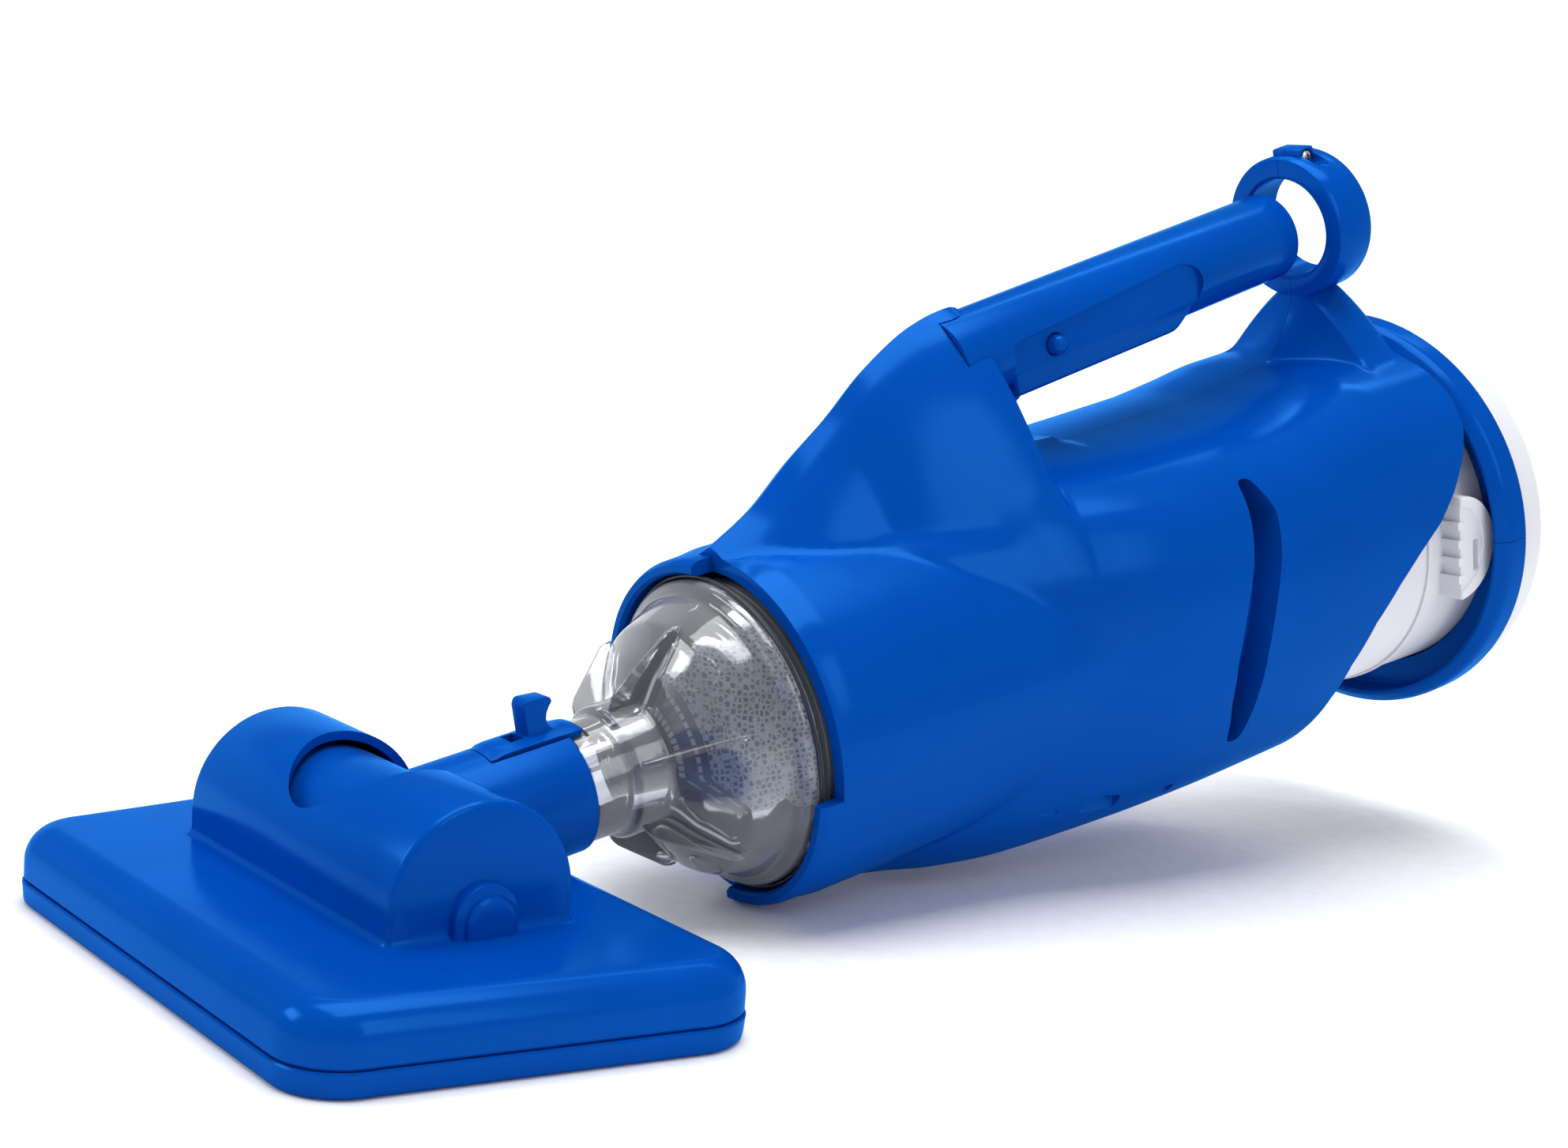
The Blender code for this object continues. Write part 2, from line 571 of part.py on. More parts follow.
def housing(mats, parent):
    outer = shell_skin("outer", 0.0, STATIONS, QUARTER)
    add(outer, lip_ring("mouth_lips"))
    # the collar that a pole passes through, standing on the rear post
    add(outer, rod("collar", COLLAR_FRONT - GRIP_S0, COLLAR_REAR - GRIP_S0, COLLAR_R, 32, (0.0, 0.0), GRIP))
    lug = box("collar_lug", (-6.6, COLLAR_FRONT - GRIP_S0 + 4.0, COLLAR_R - 3.5),
              (6.6, COLLAR_REAR - GRIP_S0 - 4.0, COLLAR_R + 1.8), GRIP)
    add(outer, lug)
    inner = shell_skin("inner", SHELL_WALL, INNER_STATIONS, INNER_QUARTER)
    for s, h in HOUSING_SCREWS:
        cut(inner, cross_rod("boss", -90.0, 90.0, 4.2, s, h, 12))
    cut(outer, inner, rod("mouth_bore", 90.0, MOUTH_S + 12.0, MOUTH_R, 36))
    # the grip's socket through the arch, the pole's way through the collar, the motor unit's place
    cut(outer, rod("socket", GRIP_FRONT - GRIP_S0 - 0.5, GRIP_END - GRIP_S0, GRIP_R + GAP, 26, (0.0, 0.0),
                   GRIP))
    cut(outer, rod("pole_way", 95.0, 130.0, COLLAR_HOLE, 32, (0.0, 0.0), GRIP))
    cut(outer, turn("case_room", [(CASE_FRONT - 3.0, CASE_R0 + 0.4), (CASE_REAR + 6.0, CASE_R1 + 0.6)], 36,
                    closed=False))
    cut(outer, crescent("slit_near", 1), crescent("slit_far", -1),
        side_prism("rear_cut", REAR_CUT, -90, 90))
    for s0, s1 in DRAINS:
        cut(outer, box("drain_near", (DRAIN_X[0], s0, -62.0), (DRAIN_X[1], s1, -43.5)),
            box("drain_far", (-DRAIN_X[1], s0, -62.0), (-DRAIN_X[0], s1, -43.5)))
    cut(outer, cross_rod("ring_bolt_hole", -20.0, 20.0, 1.8, 0.0, 0.0, 10, RING_BOLT),
        cross_rod("ring_bolt_recess", 4.0, 20.0, 2.9, 0.0, 0.0, 12, RING_BOLT))
    for s, h in HOUSING_SCREWS:
        cut(outer, cross_rod("pilot", -30.0, 9.0, 1.8, s, h, 10),
            cross_rod("head_way", -60.0, -5.9, 3.6, s, h, 12))
    left = outer.copy()
    left.data = outer.data.copy()
    bpy.context.scene.collection.objects.link(left)
    right = outer
    cut(right, box("far_half", (-120, 60, -120), (GAP / 2, 460, 180)))
    cut(left, box("near_half", (-GAP / 2, 60, -120), (120, 460, 180)))
    # each half keeps the lip of one quarter and is cut back over the other
    cut(right, box("cut_back", (0, 60, -9.5), (120, MOUTH_S, 120)))
    cut(left, box("cut_back", (-120, 60, -120), (0, MOUTH_S, 9.5)))
    right.name, left.name = "housing_right", "housing_left"
    finish(right, mats["blue"], parent, flatten=False)
    finish(left, mats["blue"], parent, flatten=False)


RING_BOLT = GRIP @ Matrix.Translation((0, ((COLLAR_FRONT + COLLAR_REAR) / 2 - GRIP_S0) * MM,
                                       (COLLAR_R - 1.6) * MM))


def fasteners(mats, parent):
    to_left = Matrix.Rotation(deg(-90), 4, 'Y')
    for i, (s, h) in enumerate(HOUSING_SCREWS):
        place = BODY @ Matrix.Translation((8.0 * MM, s * MM, h * MM)) @ to_left
        screw(f"housing_screw_{i + 1}", mats, parent, place, 16.0)
    to_right = Matrix.Rotation(deg(90), 4, 'Y')
    screw("collar_screw", mats, parent, RING_BOLT @ Matrix.Translation((-6.0 * MM, 0, 0)) @ to_right, 12.1,
          head_r=2.4, slot=True)


# ---------------------------------------------------------------- grip and snap buttons

def grip_halves(mats, parent):
    a, b = GRIP_FRONT - GRIP_S0, GRIP_END - GRIP_S0
    for name, sx in (("grip_right", 1), ("grip_left", -1)):
        grip = turn(name, [(a, GRIP_R), (b - 1.2, GRIP_R), (b, GRIP_R - 1.2)], 32, (0.0, 0.0), GRIP,
                    closed=False)
        add(grip, side_prism("web", GRIP_WEB, -6.5, 6.5, GRIP))
        cut(grip, rod("hollow", a - 5.0, b - GRIP_WALL, GRIP_R - GRIP_WALL, 24, (0.0, 0.0), GRIP))
        x0, x1 = sorted((-40.0 * sx, GAP / 2 * sx))
        cut(grip, box("other_half", (x0, a - 20.0, -40.0), (x1, b + 20.0, 40.0), GRIP))
        x0, x1 = sorted((4.0 * sx, 30.0 * sx))
        cut(grip, cross_rod("button_hole", x0, x1, BUTTON_R + 0.35, BUTTON_S - GRIP_S0, -2.5, 16, GRIP))
        finish(grip, mats["blue"], parent)


SPRING_PLAN = [(4.4, -3.0), (4.4, 20.0), (2.8, 29.0), (0.0, 32.0), (-2.8, 29.0), (-4.4, 20.0), (-4.4, -3.0),
               (-3.6, -3.0), (-3.6, 19.8), (-2.3, 28.2), (0.0, 31.0), (2.3, 28.2), (3.6, 19.8), (3.6, -3.0)]


def snap_buttons(mats, parents, parent):
    for name, sx in (("snap_button_right", 1), ("snap_button_left", -1)):
        rings = [(7.4, BUTTON_R + 1.0), (8.8, BUTTON_R + 1.0), (8.8, BUTTON_R), (14.6, BUTTON_R),
                 (15.8, BUTTON_R - 1.0),
                 (16.3, BUTTON_R - 2.2)]
        s, h = BUTTON_S - GRIP_S0, -2.5
        button = loft(name, [[(sx * x, s + a, h + b) for a, b in circle(r, 16)] for x, r in rings], GRIP)
        finish(button, mats["blue"], parents[name])
    s0 = BUTTON_S - GRIP_S0
    spring = loft("snap_spring", [[(x, s0 + s, h) for x, s in SPRING_PLAN] for h in (-5.5, 0.5)], GRIP)
    finish(spring, mats["steel"], parent)


# ---------------------------------------------------------------- pump and motor unit

def intake_guard(mats, parent):
    guard = turn("intake_guard", [(238.0, 42.6), (240.4, 42.6), (240.4, 37.0), (238.0, 37.0)], 40)
    for angle, inset in ((30.0, 0.2), (120.0, 0.4)):
        turned = BODY @ Matrix.Rotation(deg(angle), 4, 'Y')
        add(guard, box("bar", (-1.2, 238.0 + inset, -39.0), (1.2, 240.4 - inset, 39.0), turned))
    return finish(guard, mats["white"], parent)


def impeller(mats, parent):
    disc = turn("impeller", [(IMPELLER_S + 8.0, IMPELLER_R), (IMPELLER_S + 10.0, IMPELLER_R),
                             (IMPELLER_S + 10.0, 2.3), (IMPELLER_S, 2.3), (IMPELLER_S, 7.0),
                             (IMPELLER_S + 8.0, 9.0)], 32)
    for i in range(6):
        turned = BODY @ Matrix.Rotation(deg(60.0 * i), 4, 'Y')
        blade = [(6.0, 0.0), (16.0, 1.5), (26.0, 5.0), (32.5, 10.0), (31.5, 11.5), (25.0, 6.8),
                 (15.5, 3.2), (6.0, 1.6)]
        add(disc, loft("blade", [[(x, s, h) for x, h in blade] for s in (IMPELLER_S + 0.6,
                                                                         IMPELLER_S + 8.6)], turned))
    return finish(disc, mats["grey"], parent)


def rotor_shaft(mats, parent):
    return finish(rod("motor_shaft", IMPELLER_S - 0.8, 342.0, 2.0, 12), mats["steel"], parent)


def case_radius(s):
    return CASE_R0 + (CASE_R1 - CASE_R0) * (s - CASE_FRONT) / (CASE_REAR - CASE_FRONT)


def motor_case(mats, parent):
    profile = [(CASE_FRONT, CASE_R0 - 3.0), (CASE_FRONT + 3.0, case_radius(CASE_FRONT + 3.0)),
               (CASE_REAR, CASE_R1),
               (CASE_REAR, CASE_R1 - CASE_WALL), (CASE_FRONT + 6.0,
                                                  CASE_R0 - CASE_WALL), (CASE_FRONT + 3.4, CASE_R0 - 6.0),
               (CASE_FRONT + 3.4, 6.4), (CASE_FRONT, 6.4)]
    case = turn("motor_case", profile, 36)
    for sx in (-1, 1):
        half_disc = [(LUG_S + a, b) for a, b in circle(SIDE_LUG_R, 11, -90, 180)]
        lug = side_prism("lug", half_disc, 48.0 * sx, 60.4 * sx)
        cut(lug, rod("keep_bore", 350.0, 400.0, 50.5, 40))
        add(case, lug)
        x0, x1 = sorted((58.5 * sx, 70.0 * sx))
        cut(case, box("lug_slot", (x0, 377.0, -9.0), (x1, 379.0, 1.6)))
    return finish(case, mats["white"], parent)


def rear_ring(mats, parent):
    profile = [(RING_FRONT, RING_R - 3.4), (RING_FRONT + 3.4, RING_R), (RING_REAR, RING_R),
               (RING_REAR, CASE_R1 + 0.5),
               (RING_REAR - 3.0, CASE_R1 + 0.5), (RING_REAR - 3.0, RING_INNER), (RING_FRONT, RING_INNER)]
    for name, sign in (("rear_ring_top", 1), ("rear_ring_bottom", -1)):
        ring = turn(name, profile, 40)
        low, high = sorted((-90.0 * sign, GAP / 2 * sign))
        cut(ring, box("other_half", (-90, 370, low), (90, 400, high)))
        finish(ring, mats["blue"], parent)


BUTTON_AT = (0.0, 24.0)
PORT_AT = (0.0, -24.0)


def end_cap(mats, parent):
    cap = turn("end_cap", [(RING_REAR + 0.6, CAP_R), (405.5, CAP_R - 0.6), (409.0, CAP_R - 3.6),
                           (CAP_REAR, CAP_R - 9.0)], 40, closed=False)
    cut(cap, turn("inside", [(RING_REAR - 4.0, CAP_R - 4.0), (402.0, CAP_R - 4.0), (407.6, CAP_R - 10.0)],
                  32,
                  closed=False))
    for (x, h), r in ((BUTTON_AT, 9.4), (PORT_AT, 7.4)):
        cut(cap, rod("way", 400.0, 420.0, r, 24, (x, h)))
    for x, h in CAP_SCREWS:
        add(cap, rod("boss", 396.0, 408.0, 3.6, 12, (x, h)))
        cut(cap, rod("head_recess", 408.6, 420.0, 3.6, 14, (x, h)),
            rod("pilot", 399.0, 412.0, 1.8, 10, (x, h)))
    return finish(cap, mats["white"], parent)


CAP_SCREWS = [(46.0 * math.sin(deg(a)), 46.0 * math.cos(deg(a))) for a in (60.0, 180.0, 300.0)]


def cap_parts(mats, parent, parents):
    finish(turn("cap_gasket", [(RING_REAR + 0.9, 58.6), (396.4, 58.6), (396.4, 54.9), (RING_REAR + 0.9,
                                                                                       54.9)], 32),
           mats["black"], parent)
    for i, (x, h) in enumerate(CAP_SCREWS):
        place = BODY @ Matrix.Translation((x * MM, 400.0 * MM, h * MM)) @ Matrix.Rotation(deg(-90), 4, 'X')
        screw(f"cap_screw_{i + 1}", mats, parent, place, 10.5, shank_r=1.45)
    x, h = BUTTON_AT
    button = turn("power_button", [(404.0, 10.6), (407.2, 10.6), (407.2, 8.9), (411.4, 8.9), (412.4, 7.6)],
                  24, (x, h),
                  closed=False)
    finish(button, mats["grey"], parents["power_button"])
    x, h = PORT_AT
    finish(turn("charge_port", [(402.2, 7.0), (405.6, 7.0), (405.6, 3.4), (402.2, 3.4)], 20, (x, h)),
           mats["grey"],
           parent)
    plug = turn("charge_plug", [(403.2, 3.0), (406.0, 3.0), (406.0, 7.0), (411.2, 7.0), (412.0, 6.2)], 20,
                (x, h),
                closed=False)
    finish(plug, mats["black"], parents["charge_plug"])


def motor_group(mats, parent):
    finish(turn("shaft_seal", [(CASE_FRONT - 1.4, 10.4), (CASE_FRONT - 0.4, 10.4), (CASE_FRONT - 0.4, 6.0),
                               (CASE_FRONT + 3.6, 6.0), (CASE_FRONT + 3.6, 2.4), (CASE_FRONT - 1.4,
                                                                                  2.4)], 20),
           mats["black"], parent)
    can = turn("motor", [(272.0, MOTOR_R), (330.0, MOTOR_R), (330.0, 2.4), (272.0, 2.4)], 24)
    finish(can, mats["steel"], parent)
    for i, a in enumerate((30.0, 150.0, 270.0)):
        centre = (CELL_ORBIT * math.cos(deg(a)), CELL_ORBIT * math.sin(deg(a)))
        finish(rod(f"battery_cell_{i + 1}", 290.0, 290.0 + CELL_LENGTH, CELL_R, 18, centre), mats["grey"],
               parent)
    holder = turn("battery_holder", [(357.0, 45.0), (360.0, 45.0), (360.0, 6.0), (357.0, 6.0)], 32)
    finish(holder, mats["black"], parent)
    finish(rod("circuit_board", 366.0, 367.6, 42.0, 32), mats["board"], parent)


# ---------------------------------------------------------------- assembly

def make_empties():
    """One empty on each moving body's axis."""
    root = empty("head_origin", WORLD)
    pivot = empty("neck_pivot", Matrix.Translation((0, PIVOT_Y * MM, PIVOT_Z * MM)), root)
    axis = empty("body_axis", BODY, pivot)
    latch = empty("latch_root", BODY @ Matrix.Translation((0, LATCH_ROOT * MM, NECK_R * MM)), pivot)
    flap = empty("flap_hinge", BODY @ Matrix.Translation((0, FLAP_S * MM, FLAP_HINGE_H * MM)), pivot)
    rotor = empty("rotor_axis", BODY @ Matrix.Translation((0, IMPELLER_S * MM, 0)), axis)
    snaps = {}
    for name, sx in (("snap_button_right", 1), ("snap_button_left", -1)):
        seat = Matrix.Translation((12.0 * sx * MM, (BUTTON_S - GRIP_S0) * MM, -2.5 * MM))
        snaps[name] = empty(name + "_axis", GRIP @ seat, axis)
    caps = {}
    for name, (x, h) in (("power_button", BUTTON_AT), ("charge_plug", PORT_AT)):
        caps[name] = empty(name + "_axis", BODY @ Matrix.Translation((x * MM, CAP_REAR * MM, h * MM)), axis)
    return root, pivot, axis, latch, flap, rotor, snaps, caps


def main():
    for obj in list(bpy.data.objects):
        bpy.data.objects.remove(obj, do_unlink=True)
    mats = make_materials()
    root, pivot, axis, latch, flap, rotor, snaps, caps = make_empties()
    bpy.context.view_layer.update()
    head_cover(mats, root)
    head_base(mats, root)
    brush_strips(mats, root)
    head_screws(mats, root)
    neck_tube(mats, pivot)
    latch_tongue(mats, latch)
    nose_cone(mats, pivot)
    valve_seat(mats, pivot)
    flap_valve(mats, flap)
    nose_seal(mats, pivot)
    filter_parts(mats, pivot)
    housing(mats, axis)
    fasteners(mats, axis)
    grip_halves(mats, axis)
    snap_buttons(mats, snaps, axis)
    intake_guard(mats, axis)
    impeller(mats, rotor)
    rotor_shaft(mats, rotor)
    motor_case(mats, axis)
    rear_ring(mats, axis)
    end_cap(mats, axis)
    cap_parts(mats, axis, caps)
    motor_group(mats, axis)


main()
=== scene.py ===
"""Looks of a hand-held cordless pool vacuum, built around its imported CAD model.

Tables and sizes are in millimetres, and meshes are in metres. Pieces behind the pivot are drawn in
the body frame: x across, s along the body's axis to the rear, h up from it.
"""

import math

import bmesh
import bpy
from mathutils import Matrix, Vector
from mathutils.kdtree import KDTree


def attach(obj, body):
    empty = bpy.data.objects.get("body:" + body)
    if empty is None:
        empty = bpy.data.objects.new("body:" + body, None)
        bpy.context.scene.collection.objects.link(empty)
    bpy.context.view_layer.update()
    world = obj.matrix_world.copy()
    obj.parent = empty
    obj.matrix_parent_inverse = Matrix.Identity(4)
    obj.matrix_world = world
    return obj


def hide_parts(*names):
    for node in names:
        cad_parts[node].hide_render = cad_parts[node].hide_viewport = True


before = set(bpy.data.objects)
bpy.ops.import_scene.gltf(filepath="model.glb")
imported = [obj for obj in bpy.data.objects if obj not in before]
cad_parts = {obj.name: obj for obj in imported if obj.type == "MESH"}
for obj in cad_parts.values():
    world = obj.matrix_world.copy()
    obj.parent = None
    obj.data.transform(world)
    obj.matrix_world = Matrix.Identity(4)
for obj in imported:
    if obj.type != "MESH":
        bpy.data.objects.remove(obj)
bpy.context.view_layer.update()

bl_info = {
    "name": "Pool vacuum pieces",
    "version": (1, 0, 0),
    "blender": (4, 5, 0),
    "location": "View3D > Sidebar > Pool vacuum",
    "description": "Builds the detailed pieces of a hand-held pool vacuum around its CAD model",
    "category": "Object",
}

MM = 0.001
TAU = 2.0 * math.pi

# The body's axis leaves the head AXIS_RISE above the sole and climbs to the rear.
TILT = math.radians(12.2)
AXIS_RISE = 25.5
BODY = Matrix.Translation((0, 0, AXIS_RISE * MM)) @ Matrix.Rotation(TILT, 4, 'X')
WORLD = Matrix.Identity(4)
GRIP_S0 = 258.0
GRIP_H = 92.0
GRIP_SLOPE = math.radians(5.9)
GRIP = BODY @ Matrix.Translation((0, GRIP_S0 * MM, GRIP_H * MM)) @ Matrix.Rotation(GRIP_SLOPE, 4, 'X')
GAP = 0.3

# ------------------------------------------------------------------------------ modelling helpers


def circle(radius, count, start=0.0, sweep=360.0):
    """Points of a circle or, with both ends, of an arc."""
    steps = count if sweep >= 360.0 else count - 1
    turns = [math.radians(start + sweep * i / steps) for i in range(count)]
    return [(radius * math.cos(a), radius * math.sin(a)) for a in turns]


def rounded(points, radius, steps=3, closed=False):
    """A polyline whose corners are rounded off by about radius."""
    result = []
    count = len(points)
    for i, point in enumerate(points):
        if not closed and i in (0, count - 1):
            result.append(point)
            continue
        here = Vector(point)
        before, after = Vector(points[i - 1]) - here, Vector(points[(i + 1) % count]) - here
        reach = min(radius, before.length * 0.45, after.length * 0.45)
        start, end = here + before.normalized() * reach, here + after.normalized() * reach
        for k in range(steps + 1):
            t = k / steps
            result.append(tuple(start * (1 - t) ** 2 + here * 2 * t * (1 - t) + end * t * t))
    return result


class Curve:
    """A smooth value along a short table of (position, value) pairs that never overshoots it."""

    def __init__(self, table):
        self.x = [p for p, _ in table]
        self.y = [v for _, v in table]
        spans = list(zip(self.x, self.x[1:], self.y, self.y[1:]))
        self.rise = [(d - c) / (b - a) for a, b, c, d in spans]
        slopes = [self.rise[0]]
        for before, after in zip(self.rise, self.rise[1:]):
            same_way = before * after > 0
            slopes.append(2 * before * after / (before + after) if same_way else 0.0)
        self.slope = slopes + [self.rise[-1]]

    def __call__(self, value):
        if value <= self.x[0]:
            return self.y[0]
        if value >= self.x[-1]:
            return self.y[-1]
        i = next(k for k, edge in enumerate(self.x[1:]) if value <= edge)
        width = self.x[i + 1] - self.x[i]
        t = (value - self.x[i]) / width
        near = self.y[i] * (1 + 2 * t) * (1 - t) ** 2 + self.slope[i] * width * t * (1 - t) ** 2
        far = self.y[i + 1] * t * t * (3 - 2 * t) + self.slope[i + 1] * width * t * t * (t - 1)
        return near + far


def deselect():
    if bpy.context.object and bpy.context.object.mode != 'OBJECT':
        bpy.ops.object.mode_set(mode='OBJECT')
    bpy.ops.object.select_all(action='DESELECT')


def activate(obj):
    deselect()
    obj.select_set(True)
    bpy.context.view_layer.objects.active = obj


def settle(obj, place):
    """Move an object by a matrix and put its place into its mesh."""
    activate(obj)
    obj.matrix_world = place @ obj.matrix_world
    bpy.ops.object.transform_apply(location=True, rotation=True, scale=True)


def stack(name, rings, place=BODY, ends='CAPS'):
    """Extrude a circle's corners through equal rings of points: CAPS fills both ends, LOOP joins them."""
    deselect()
    fill = 'NGON' if ends == 'CAPS' else 'NOTHING'
    bpy.ops.mesh.primitive_circle_add(vertices=len(rings[0]), radius=MM, fill_type=fill)
    obj = bpy.context.object
    obj.name = name
    bpy.ops.object.mode_set(mode='EDIT')
    mesh = bmesh.from_edit_mesh(obj.data)
    mesh.verts.ensure_lookup_table()
    for vert, point in zip(mesh.verts, rings[0]):
        vert.co = Vector(point) * MM
    bmesh.update_edit_mesh(obj.data)
    bpy.ops.mesh.select_all(action='SELECT')
    for last, ring in zip(rings, rings[1:]):
        bpy.ops.mesh.extrude_region_move()
        finder = KDTree(len(last))
        for i, point in enumerate(last):
            finder.insert(Vector(point) * MM, i)
        finder.balance()
        mesh = bmesh.from_edit_mesh(obj.data)
        picked = [(finder.find(vert.co)[1], vert) for vert in mesh.verts if vert.select]
        for i, vert in picked:
            vert.co = Vector(ring[i]) * MM
        bmesh.update_edit_mesh(obj.data)
    bpy.ops.mesh.select_all(action='SELECT')
    bpy.ops.mesh.remove_doubles(threshold=0.002 * MM)
    bpy.ops.mesh.normals_make_consistent(inside=False)
    settle(obj, place)
    return obj


def turned(name, profile, count=64, centre=(0.0, 0.0), place=BODY, ends='CAPS'):
    """Turn (s, r) points about an axis along s through centre (x, h)."""
    rings = [[(centre[0] + x, s, centre[1] + h) for x, h in circle(r, count)] for s, r in profile]
    return stack(name, rings, place, ends)


def ring_turned(name, profile, count=64, centre=(0.0, 0.0), place=BODY):
    """Turn a closed outline of (s, r) points, as for a ring or a hollow shell."""
    return turned(name, list(profile) + [profile[0]], count, centre, place, 'LOOP')


def rod(name, s0, s1, radius, count=48, centre=(0.0, 0.0), place=BODY):
    return turned(name, [(s0, radius), (s1, radius)], count, centre, place)


def cross_rod(name, steps, s, h, count=32, place=BODY):
    """A stepped rod across the body: steps are (x, radius)."""
    rings = [[(x, s + a, h + b) for a, b in circle(r, count)] for x, r in steps]
    return stack(name, rings, place)


def pillar(name, x, y, steps, count=32, place=WORLD):
    """A stepped upright rod: steps are (z, radius)."""
    return stack(name, [[(x + a, y + b, z) for a, b in circle(r, count)] for z, r in steps], place)


def side_plate(name, outline, x0, x1, place=BODY):
    """Extrude a side-view outline of (s, h) points across x."""
    return stack(name, [[(x, s, h) for s, h in outline] for x in (x0, x1)], place)


def block(name, low, high, place=BODY):
    """A box from its two corners."""
    deselect()
    centre = [(a + b) / 2 * MM for a, b in zip(low, high)]
    size = [abs(b - a) * MM for a, b in zip(low, high)]
    bpy.ops.mesh.primitive_cube_add(size=1.0, location=centre, scale=size)
    obj = bpy.context.object
    obj.name = name
    settle(obj, place)
    return obj


def apply_modifier(obj, kind, **settings):
    activate(obj)
    bpy.ops.object.modifier_add(type=kind)
    modifier = obj.modifiers[-1]
    for key, value in settings.items():
        setattr(modifier, key, value)
    bpy.ops.object.modifier_apply(modifier=modifier.name)


def closed(obj):
    mesh = bmesh.new()
    mesh.from_mesh(obj.data)
    result = all(len(edge.link_faces) == 2 for edge in mesh.edges)
    mesh.free()
    return result


def combine(obj, operation, *tools):
    """Cut or join obj with tools, which are used up."""
    for tool in tools:
        solver = 'MANIFOLD' if closed(obj) and closed(tool) else 'EXACT'
        apply_modifier(obj, 'BOOLEAN', operation=operation, solver=solver, object=tool)
        bpy.data.objects.remove(tool, do_unlink=True)
    return obj


def cut(obj, *tools):
    return combine(obj, 'DIFFERENCE', *tools)


def weld(obj, *tools):
    return combine(obj, 'UNION', *tools)


def together(name, pieces):
    """Join separate meshes into one object."""
    deselect()
    for piece in pieces:
        piece.select_set(True)
    bpy.context.view_layer.objects.active = pieces[0]
    bpy.ops.object.join()
    pieces[0].name = name
    return pieces[0]


def copy_of(obj, name, place):
    """A copy with its own mesh, moved by a matrix."""
    activate(obj)
    bpy.ops.object.duplicate(linked=False)
    twin = bpy.context.object
    twin.name = name
    settle(twin, place)
    return twin


def triangles(obj):
    activate(obj)
    bpy.ops.object.mode_set(mode='EDIT')
    bpy.ops.mesh.select_all(action='SELECT')
    bpy.ops.mesh.quads_convert_to_tris()
    bpy.ops.object.mode_set(mode='OBJECT')


def soften(obj, width, angle=40.0, segments=3):
    """Round every edge sharper than angle."""
    apply_modifier(obj, 'BEVEL', width=width * MM, segments=segments, limit_method='ANGLE',
                   angle_limit=math.radians(angle), harden_normals=False, miter_outer='MITER_ARC')


def shade(obj, angle=32.0):
    activate(obj)
    bpy.ops.object.shade_smooth_by_angle(angle=math.radians(angle))


def clean(obj, distance=0.01):
    activate(obj)
    bpy.ops.object.mode_set(mode='EDIT')
    bpy.ops.mesh.select_all(action='SELECT')
    bpy.ops.mesh.remove_doubles(threshold=distance * MM)
    bpy.ops.mesh.dissolve_degenerate(threshold=distance * MM)
    bpy.ops.object.mode_set(mode='OBJECT')


def dress(obj, body, material, nodes=(), angle=32.0, shaded=True):
    """Give a finished piece its name's place in the frame, its material and its shading."""
    if shaded:
        shade(obj, angle)
    obj.data.materials.clear()
    obj.data.materials.append(material)
    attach(obj, body)
    if nodes:
        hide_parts(*nodes)
    return obj


# ------------------------------------------------------------------------------ materials


def from_hex(code):
    return [int(code[i:i + 2], 16) / 255 for i in (1, 3, 5)]


def linear(colour):
    """An sRGB hex colour or triple as linear RGBA."""
    if isinstance(colour, str):
        colour = from_hex(colour)
    return tuple(c / 12.92 if c <= 0.04045 else ((c + 0.055) / 1.055) ** 2.4 for c in colour) + (1.0,)


def add_node(tree, kind, links=None, stops=None, **settings):
    """Add a node, set its sockets and properties, and link sockets to other nodes' outputs."""
    node = tree.nodes.new(kind)
    for key, value in settings.items():
        if hasattr(node, key):
            setattr(node, key, value)
        else:
            node.inputs[key.replace("_", " ")].default_value = value
    if stops:
        elements = node.color_ramp.elements
        while len(elements) < len(stops):
            elements.new(0.5)
        for element, (position, colour) in zip(elements, stops):
            element.position = position
            element.color = linear(colour)
    for key, output in (links or {}).items():
        tree.links.new(output, node.inputs[key])
    return node


def new_material(name):
    """A material with an empty node tree, and its object coordinates."""
    mat = bpy.data.materials.new(name)
    mat.use_nodes = True
    mat.node_tree.nodes.clear()
    return mat, mat.node_tree, add_node(mat.node_tree, 'ShaderNodeTexCoord').outputs["Object"]


def surfaced(mat, shader):
    add_node(mat.node_tree, 'ShaderNodeOutputMaterial', {"Surface": shader})
    return mat


def calc(tree, operation, *values):
    """A Math node's result: sockets are linked, and numbers are set on the node."""
    node = add_node(tree, 'ShaderNodeMath', operation=operation)
    for i, value in enumerate(values):
        if isinstance(value, float):
            node.inputs[i].default_value = value
        else:
            tree.links.new(value, node.inputs[i])
    return node.outputs["Value"]


def noise(tree, place, size, detail=2.0):
    """Noise whose features are about size mm across."""
    return add_node(tree, 'ShaderNodeTexNoise', {"Vector": place}, Scale=1 / (size * MM),
                    Detail=detail).outputs["Fac"]


def remap(tree, value, from_min, from_max, to_min, to_max):
    return add_node(tree, 'ShaderNodeMapRange', {"Value": value}, From_Min=from_min, From_Max=from_max,
                    To_Min=to_min, To_Max=to_max).outputs["Result"]


def ramp(tree, value, stops):
    return add_node(tree, 'ShaderNodeValToRGB', {"Fac": value}, stops).outputs["Color"]


def bumps(tree, height, depth):
    """Normals of a relief depth mm deep."""
    return add_node(tree, 'ShaderNodeBump', {"Height": height}, Strength=1.0,
                    Distance=depth * MM).outputs["Normal"]


def mixed(tree, share, first, second):
    return add_node(tree, 'ShaderNodeMixShader', {0: share, 1: first, 2: second}).outputs["Shader"]


def once(make):
    """Make a material the first time it is asked for, and hand out the same one after that."""
    kept = []

    def get():
        if not kept:
            kept.append(make())
        return kept[0]
    return get


REFLECTED_BLUE = "#3F98F0"       # the pigment casts its blue on the plastic's reflections


